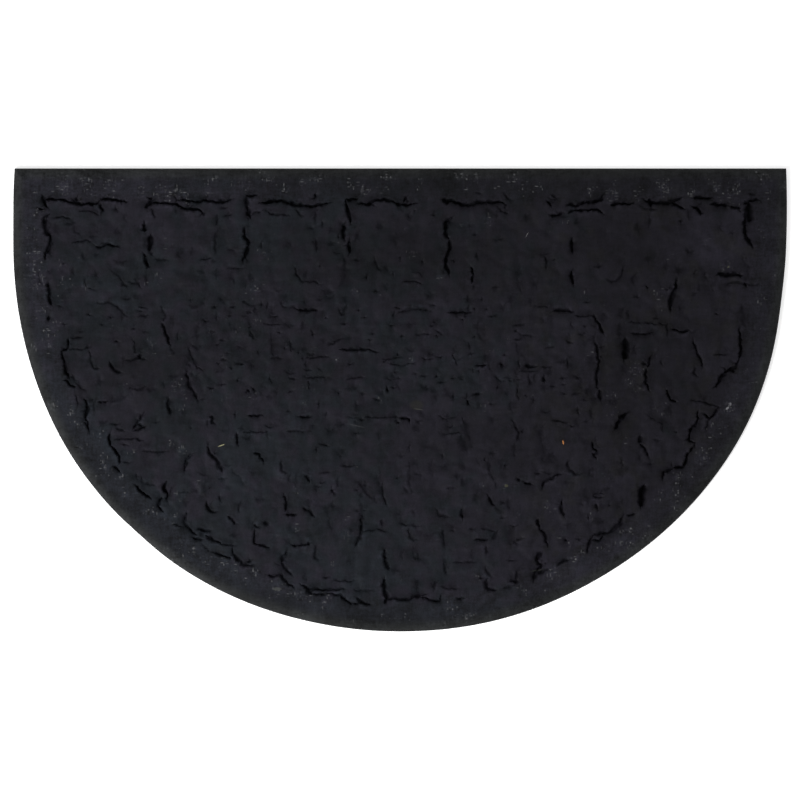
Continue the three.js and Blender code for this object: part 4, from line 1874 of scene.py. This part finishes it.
FLECKS = (
    Fleck(at=(-173, -44), size=(7.0, 1.1), turn=20, colour=(0.26, 0.245, 0.14, 1), show=0.8),
    Fleck(at=(158, -41), size=(1.5, 4.4), turn=8, colour=(0.40, 0.16, 0.05, 1), show=0.85),
    Fleck(at=(123, 160), size=(6.0, 0.7), turn=60, colour=(0.12, 0.12, 0.12, 1), show=0.7),
    Fleck(at=(317, -8), size=(4.2, 2.2), turn=40, colour=(0.16, 0.16, 0.17, 1), show=0.8),
    Fleck(at=(320, -4), size=(2.2, 3.4), turn=0, colour=(0.12, 0.12, 0.13, 1), show=0.7),
    Fleck(at=(16, -5), size=(14.0, 10.0), turn=0, colour=(0.017, 0.017, 0.014, 1), show=0.5),
    Fleck(at=(18, -9), size=(10.0, 0.9), turn=-8, colour=(0.050, 0.050, 0.045, 1), show=0.7),
    Fleck(at=(-42, -25), size=(17.0, 1.0), turn=-13, colour=(0.030, 0.030, 0.032, 1), show=0.6),
    Fleck(at=(-119, -183), size=(9.0, 3.6), turn=0, colour=(0.040, 0.042, 0.040, 1), show=0.7),
    Fleck(at=(133, -165), size=(14.0, 1.2), turn=8, colour=(0.035, 0.038, 0.030, 1), show=0.6),
    Fleck(at=(103, -83), size=(4.0, 3.0), turn=0, colour=(0.050, 0.050, 0.028, 1), show=0.6),
    Fleck(at=(318, 129), size=(3.0, 1.6), turn=50, colour=(0.060, 0.060, 0.040, 1), show=0.7),
)


class CrumbLayer(NamedTuple):
    """One layer of pale crumbs.

    Attributes:
        stretch: what a place's three numbers are multiplied by first, which makes the crumbs longer.
        size: the size of the cell that a crumb lies in, in metres.
    """

    stretch: tuple[float, float, float]
    size: float


CRUMB_LAYERS = (
    CrumbLayer(stretch=(1.0, 1.0, 1.0), size=0.0023),
    CrumbLayer(stretch=(0.33, 1.0, 1.0), size=0.0015),
    CrumbLayer(stretch=(1.0, 0.33, 1.0), size=0.0015),
)


@dataclass(frozen=True)
class Readings:
    """What the rubber's colour and relief are worked out from.

    Attributes:
        place: where a point lies on the mat, in metres from its middle.
        to_right: how far right of the middle it is.
        to_straight: how far it is from the middle towards the straight edge.
        inside: how far in from the edge it is.
        mottle: a coarse unevenness.
        grain: the crumb grain.
        upright: strokes that run up and down.
        level: strokes that run across.
    """

    place: Socket
    to_right: Value
    to_straight: Value
    inside: Value
    mottle: Value
    grain: Value
    upright: Value
    level: Value


@dataclass(frozen=True)
class CrumbRubber:
    """Matte charcoal rubber crumb, with pale specks in the border, painted shade in and beside the splits,
    and painted highlights beside them and on the rim.

    A step is where something starts and where it is there in full. Those that are places are in metres.
    """

    # The field's three colours, and those of the border band, the rim's painted highlight, the painted shade
    # of deep splits and the palest crumbs
    teal: Colour = (0.0068, 0.0084, 0.0114, 1)
    plum: Colour = (0.0087, 0.0079, 0.0121, 1)
    brown: Colour = (0.0087, 0.0081, 0.0104, 1)
    border: Colour = (0.0084, 0.0086, 0.0119, 1)
    rim: Colour = (0.0126, 0.0134, 0.0139, 1)
    painted_split_shade: Colour = (0.0003, 0.0003, 0.0004, 1)
    speck: Colour = (0.0800, 0.0815, 0.0850, 1)
    # How the colour drifts from teal to plum, less at the lower edges and more to the right
    hue_small: Noise = Noise(0.014)
    hue_large: Noise = Noise(0.11, detail=3.0)
    small_share: float = 0.6
    large_share: float = 0.4
    right_drift: float = 0.6
    edge_drift: float = 0.25
    low_step: Step = (-0.190, -0.208)
    left_step: Step = (-0.300, -0.350)
    plum_step: Step = (0.38, 0.60)
    # Where brown patches lie, and the border band and the rim's painted highlight
    warmth: Noise = Noise(0.016, stretch=(-1.0, 1.0, 1.0))
    brown_step: Step = (0.50, 0.66)
    right_step: Step = (0.0, 0.2)
    border_step: Step = (0.036, 0.022)
    border_share: float = 0.5
    rim_highlight_step: Step = (0.014, 0.003)
    # What makes the tone uneven, how much each counts, and how much more in the border
    mottle: Noise = Noise(0.012, detail=4.0, rough=0.6)
    grain: Noise = Noise(0.0014, detail=3.0, rough=0.75)
    patch: Noise = Noise(0.028)
    upright: Noise = Noise(0.0026, stretch=(1.0, 0.3, 1.0))
    level: Noise = Noise(0.0026, stretch=(0.3, 1.0, 1.0))
    mottle_share: float = 1.0
    grain_share: float = 1.15
    patch_share: float = 0.9
    stroke_share: float = 0.6
    border_lively: float = 0.65
    lively_step: Step = (0.036, 0.030)
    # How pale the rubber round the crumb clusters and the painted highlight beside the splits are, how much
    # the strokes change that, and how worn the crumb clusters are
    paleness_mean: float = 0.35
    paleness_swing: float = 2.0
    cluster_worn: float = 1.15
    # The share of crumbs that are pale, alone and in clusters, and how pale they are
    stray_crumbs: float = 0.006
    cluster_crumbs: float = 0.6
    crowd_step: Step = (0.0, 0.02)
    crumb_step: Step = (0.62, 0.05)
    least_pale: float = 0.12
    more_pale: float = 0.80
    field_specks: float = 0.65
    field_step: Step = (0.032, 0.040)
    fleck_step: Step = (1.2, 0.6)
    # The shine, the roughness, the relief, and how much of the painted shade's black the splits and their low
    # sides have
    specular: float = 0.11
    rough: float = 0.60
    mottle_rough: float = 0.14
    grain_rough: float = 0.10
    lump: Noise = Noise(0.0045, detail=3.0, rough=0.6)
    lump_share: float = 0.8
    relief: float = 0.55
    grain_height: float = 0.00035
    painted_shade_share: float = 0.9

    def readings(self, tree: ShaderTree) -> Readings:
        """Reads what the colour and the relief share.

        Args:
            tree: the material's nodes.

        Returns:
            All of it.
        """
        place = tree.place()
        parts = tree.node("ShaderNodeSeparateXYZ", {}, {0: place}).outputs
        noises = (self.mottle, self.grain, self.upright, self.level)
        return Readings(place, Value(tree, parts[0]), Value(tree, parts[1]), tree.attribute("inside"),
                        *(tree.noise(place, noise) for noise in noises))

    def ground(self, tree: ShaderTree, read: Readings) -> Socket:
        """The rubber's colour before its lightness and painted light.

        Args:
            tree: the material's nodes.
            read: what it is worked out from.

        Returns:
            The colour.
        """
        small, large = tree.noise(read.place, self.hue_small), tree.noise(read.place, self.hue_large)
        low_left = (read.to_right + read.to_straight).step(*self.left_step)
        edges = read.to_straight.step(*self.low_step) + low_left
        hue = self.small_share * small + self.large_share * large
        hue = hue + self.right_drift * read.to_right.at_least(0.0) - self.edge_drift * edges
        colour = tree.mixed(hue.step(*self.plum_step), self.teal, self.plum)
        warm = tree.noise(read.place, self.warmth).step(*self.brown_step)
        colour = tree.mixed(warm * read.to_right.step(*self.right_step), colour, self.brown)
        colour = tree.mixed(read.inside.step(*self.border_step) * self.border_share, colour, self.border)
        # Painted highlight: the rim is painted paler towards the edge
        return tree.mixed(read.inside.step(*self.rim_highlight_step), colour, self.rim)

    def tone(self, tree: ShaderTree, read: Readings) -> Value:
        """How light the rubber is, with the painted highlight beside the splits and the patches' painted
        light and shade.

        Args:
            tree: the material's nodes.
            read: what it is worked out from.

        Returns:
            What its colour is multiplied by.
        """
        mottle, grain = self.mottle_share * read.mottle.swing(), self.grain_share * read.grain.swing()
        patch = self.patch_share * tree.noise(read.place, self.patch).swing()
        upright, level = read.upright.swing(), read.level.swing()
        uneven = mottle + grain + patch + (self.stroke_share * upright + self.stroke_share * level)
        lively = 1.0 + self.border_lively * read.inside.step(*self.lively_step)
        # Pale rubber round the crumb clusters, and the painted highlight beside the splits
        patchy = self.paleness_mean + self.paleness_swing * upright + self.paleness_swing * level
        paleness = patchy * (self.cluster_worn * tree.attribute("speckle") + tree.attribute("painted_highlight"))
        return (1.0 + lively * uneven + paleness) * tree.attribute("tone")

    def specks(self, tree: ShaderTree, read: Readings) -> Value:
        """Where the pale crumbs are.

        Args:
            tree: the material's nodes.
            read: what they are worked out from.

        Returns:
            Their strength, from 0 to 1.
        """
        crowd = self.stray_crumbs + self.cluster_crumbs * tree.attribute("speckle")
        total: Any = 0.0
        for layer in CRUMB_LAYERS:
            away, drawn, pale = tree.crumbs(tree.stretched(read.place, layer.stretch), layer.size)
            crumb = (crowd - drawn).step(*self.crowd_step) * away.step(*self.crumb_step)
            total = total + crumb * (self.least_pale + self.more_pale * pale * pale)
        return total.at_most(1.0) * (1.0 - (1.0 - self.field_specks) * read.inside.step(*self.field_step))

    def fleck(self, tree: ShaderTree, read: Readings, fleck: Fleck) -> Value:
        """Where one fleck is.

        Args:
            tree: the material's nodes.
            read: what it is worked out from.
            fleck: the fleck.

        Returns:
            Its strength, from 0 to 1.
        """
        x, y = (number * MILLIMETRE for number in fleck.at)
        half_x, half_y = (number * MILLIMETRE / 2 for number in fleck.size)
        turned = tree.node("ShaderNodeMapping", {"vector_type": "TEXTURE"}, {
            "Vector": read.place, "Location": (x, y, 0.0),
            "Rotation": (0.0, 0.0, math.radians(fleck.turn)), "Scale": (half_x, half_y, 1.0)}).outputs[0]
        apart = tree.node("ShaderNodeSeparateXYZ", {}, {0: turned})
        across, along = Value(tree, apart.outputs[0]), Value(tree, apart.outputs[1])
        away = (across * across + along * along).root()
        return away.step(*self.fleck_step) * fleck.show

    def colour(self, tree: ShaderTree, read: Readings) -> Socket:
        """The rubber's colour with its lightness and painted light, its pale crumbs and its flecks.

        Args:
            tree: the material's nodes.
            read: what it is worked out from.

        Returns:
            The colour.
        """
        tone = self.tone(tree, read)
        grey = tree.node("ShaderNodeCombineColor", {}, {0: tone, 1: tone, 2: tone}).outputs[0]
        colour = tree.mixed(1.0, self.ground(tree, read), grey, "MULTIPLY")
        colour = tree.mixed(self.specks(tree, read), colour, self.speck)
        for fleck in FLECKS:
            colour = tree.mixed(self.fleck(tree, read, fleck), colour, fleck.colour)
        return colour

    def material(self) -> bpy.types.Material:
        """Builds the material.

        Returns:
            It, to be put on the mat.
        """
        material, tree, shader = new_material("crumb_rubber")
        read = self.readings(tree)
        height = read.grain + self.lump_share * tree.noise(read.place, self.lump)
        bump = tree.node("ShaderNodeBump", {}, {
            "Strength": self.relief, "Distance": self.grain_height, "Height": height})
        rough = self.rough + self.mottle_rough * read.mottle + self.grain_rough * read.grain
        tree.join(self.colour(tree, read), shader.inputs["Base Color"])
        tree.join(bump.outputs[0], shader.inputs["Normal"])
        tree.join(rough, shader.inputs["Roughness"])
        shader.inputs["Specular IOR Level"].default_value = self.specular
        # Painted shade: a black shader without shine is mixed in by the dark reading, in the split floors and
        # on their low sides
        painted_shade_bsdf = tree.node("ShaderNodeBsdfPrincipled", {}, {
            "Base Color": self.painted_split_shade, "Roughness": 1.0, "Specular IOR Level": 0.0})
        deep = tree.attribute("dark") * self.painted_shade_share
        both = tree.node("ShaderNodeMixShader", {}, {0: deep, 1: shader.outputs[0], 2: painted_shade_bsdf.outputs[0]})
        tree.join(both.outputs[0], tree.tree.nodes["Material Output"].inputs["Surface"])
        return material


@dataclass(frozen=True)
class FloorPaint:
    """The plain pale floor, lit a little from below like a light table."""

    # Its two colours and how they drift, its glow, its roughness and its shine
    pale: Colour = (0.92, 0.92, 0.92, 1)
    paler: Colour = (0.95, 0.95, 0.95, 1)
    drift: Noise = Noise(0.25)
    glow: float = 0.55
    rough: float = 0.9
    specular: float = 0.1

    def material(self) -> bpy.types.Material:
        """Builds the material.

        Returns:
            It, to be put on the floor.
        """
        material, tree, shader = new_material("pale_floor")
        colour = tree.mixed(tree.noise(tree.place(), self.drift), self.pale, self.paler)
        tree.join(colour, shader.inputs["Base Color"])
        shader.inputs["Emission Color"].default_value = self.paler
        shader.inputs["Emission Strength"].default_value = self.glow
        shader.inputs["Roughness"].default_value = self.rough
        shader.inputs["Specular IOR Level"].default_value = self.specular
        return material


@dataclass(frozen=True)
class SoftLight:
    """A large soft lamp that faces the mat's middle, in metres.

    Attributes:
        name: its name.
        at: where it hangs.
        size: the side of its square.
        power: its power, in watts.
    """

    name: str
    at: tuple[float, float, float]
    size: float
    power: float

    def build(self) -> None:
        """Hangs the lamp."""
        lamp = bpy.data.lights.new(self.name, "AREA")
        lamp.energy = self.power
        lamp.size = self.size
        held = bpy.data.objects.new(self.name, lamp)
        held.location = self.at
        held.rotation_euler = (-Vector(self.at)).to_track_quat("-Z", "Y").to_euler()
        bpy.context.scene.collection.objects.link(held)


@dataclass
class Studio:
    """The floor, the lamps, the room's light and the camera straight above the mat, in metres."""

    # The camera's lens and sensor are in millimetres, and the frame is this wide at the mat's edge
    floor_size: float = 14.0
    lens: float = 200.0
    sensor: float = 36.0
    frame_width: float = 0.7755
    # How bright the room is overhead and near the horizon, and where that changes, from 0 to 1
    overhead: float = 0.22
    horizon: float = 1.0
    horizon_top: float = 0.35
    horizon_low: float = 0.1
    lights: tuple[SoftLight, ...] = (
        SoftLight("key_light", at=(-1.35, -1.15, 1.3), size=1.0, power=66.0),
        SoftLight("fill_light", at=(1.6, 0.9, 1.7), size=1.6, power=11.0),
        SoftLight("far_light", at=(-0.4, 1.9, 1.6), size=1.6, power=6.0),
    )

    def place_camera(self, edge_height: float) -> None:
        """Hangs the camera over the mat.

        Args:
            edge_height: the height where the frame is as wide as stated, in metres.
        """
        camera = bpy.data.cameras.new("camera")
        camera.lens = self.lens
        camera.sensor_width = self.sensor
        held = bpy.data.objects.new("camera", camera)
        held.location = (0.0, 0.0, edge_height + self.frame_width * self.lens / self.sensor)
        bpy.context.scene.collection.objects.link(held)
        bpy.context.scene.camera = held

    def lay_floor(self) -> bpy.types.Object:
        """Lays the floor under the mat.

        Returns:
            The floor.
        """
        half = self.floor_size / 2
        mesh = bpy.data.meshes.new("floor")
        corners = [(-half, -half, 0), (half, -half, 0), (half, half, 0), (-half, half, 0)]
        mesh.from_pydata(corners, [], [(0, 1, 2, 3)])
        floor = bpy.data.objects.new("floor", mesh)
        bpy.context.scene.collection.objects.link(floor)
        floor.data.materials.append(FloorPaint().material())
        return floor

    def light(self) -> None:
        """Lights the room and hangs the lamps."""
        world = bpy.data.worlds.new("room")
        world.use_nodes = True
        tree = ShaderTree(world.node_tree)
        direction = tree.node("ShaderNodeTexCoord").outputs["Generated"]
        upward = Value(tree, tree.node("ShaderNodeSeparateXYZ", {}, {0: direction}).outputs[2])
        low = upward.step(self.horizon_top, self.horizon_low)
        brightness = self.overhead + (self.horizon - self.overhead) * low
        background = world.node_tree.nodes["Background"]
        background.inputs["Color"].default_value = (1.0, 1.0, 1.0, 1.0)
        tree.join(brightness, background.inputs["Strength"])
        bpy.context.scene.world = world
        for lamp in self.lights:
            lamp.build()
        view = bpy.context.scene.view_settings
        view.view_transform = "Standard"
        view.look = "None"


def main() -> None:
    """Builds the studio and the mat, and says which node the mat stands for."""
    logging.basicConfig(level=logging.INFO, format="%(name)s: %(message)s")
    low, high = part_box(MAT_NODE)
    width, depth, thick = ((high[k] - low[k]) / MILLIMETRE for k in range(3))
    studio = Studio()
    studio.place_camera(WIDEST_LEVEL * high[2])
    floor = studio.lay_floor()
    studio.light()
    plan = MatPlan()
    log.info("frame: %.1f by %.1f by %.1f mm", width, depth, thick)
    mat = RubberMat(plan, thick).build()
    mat.data.materials.append(CrumbRubber().material())
    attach(mat, "root")
    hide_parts(MAT_NODE)
    plan.depth * MILLIMETRE


if __name__ == "__main__":
    main()
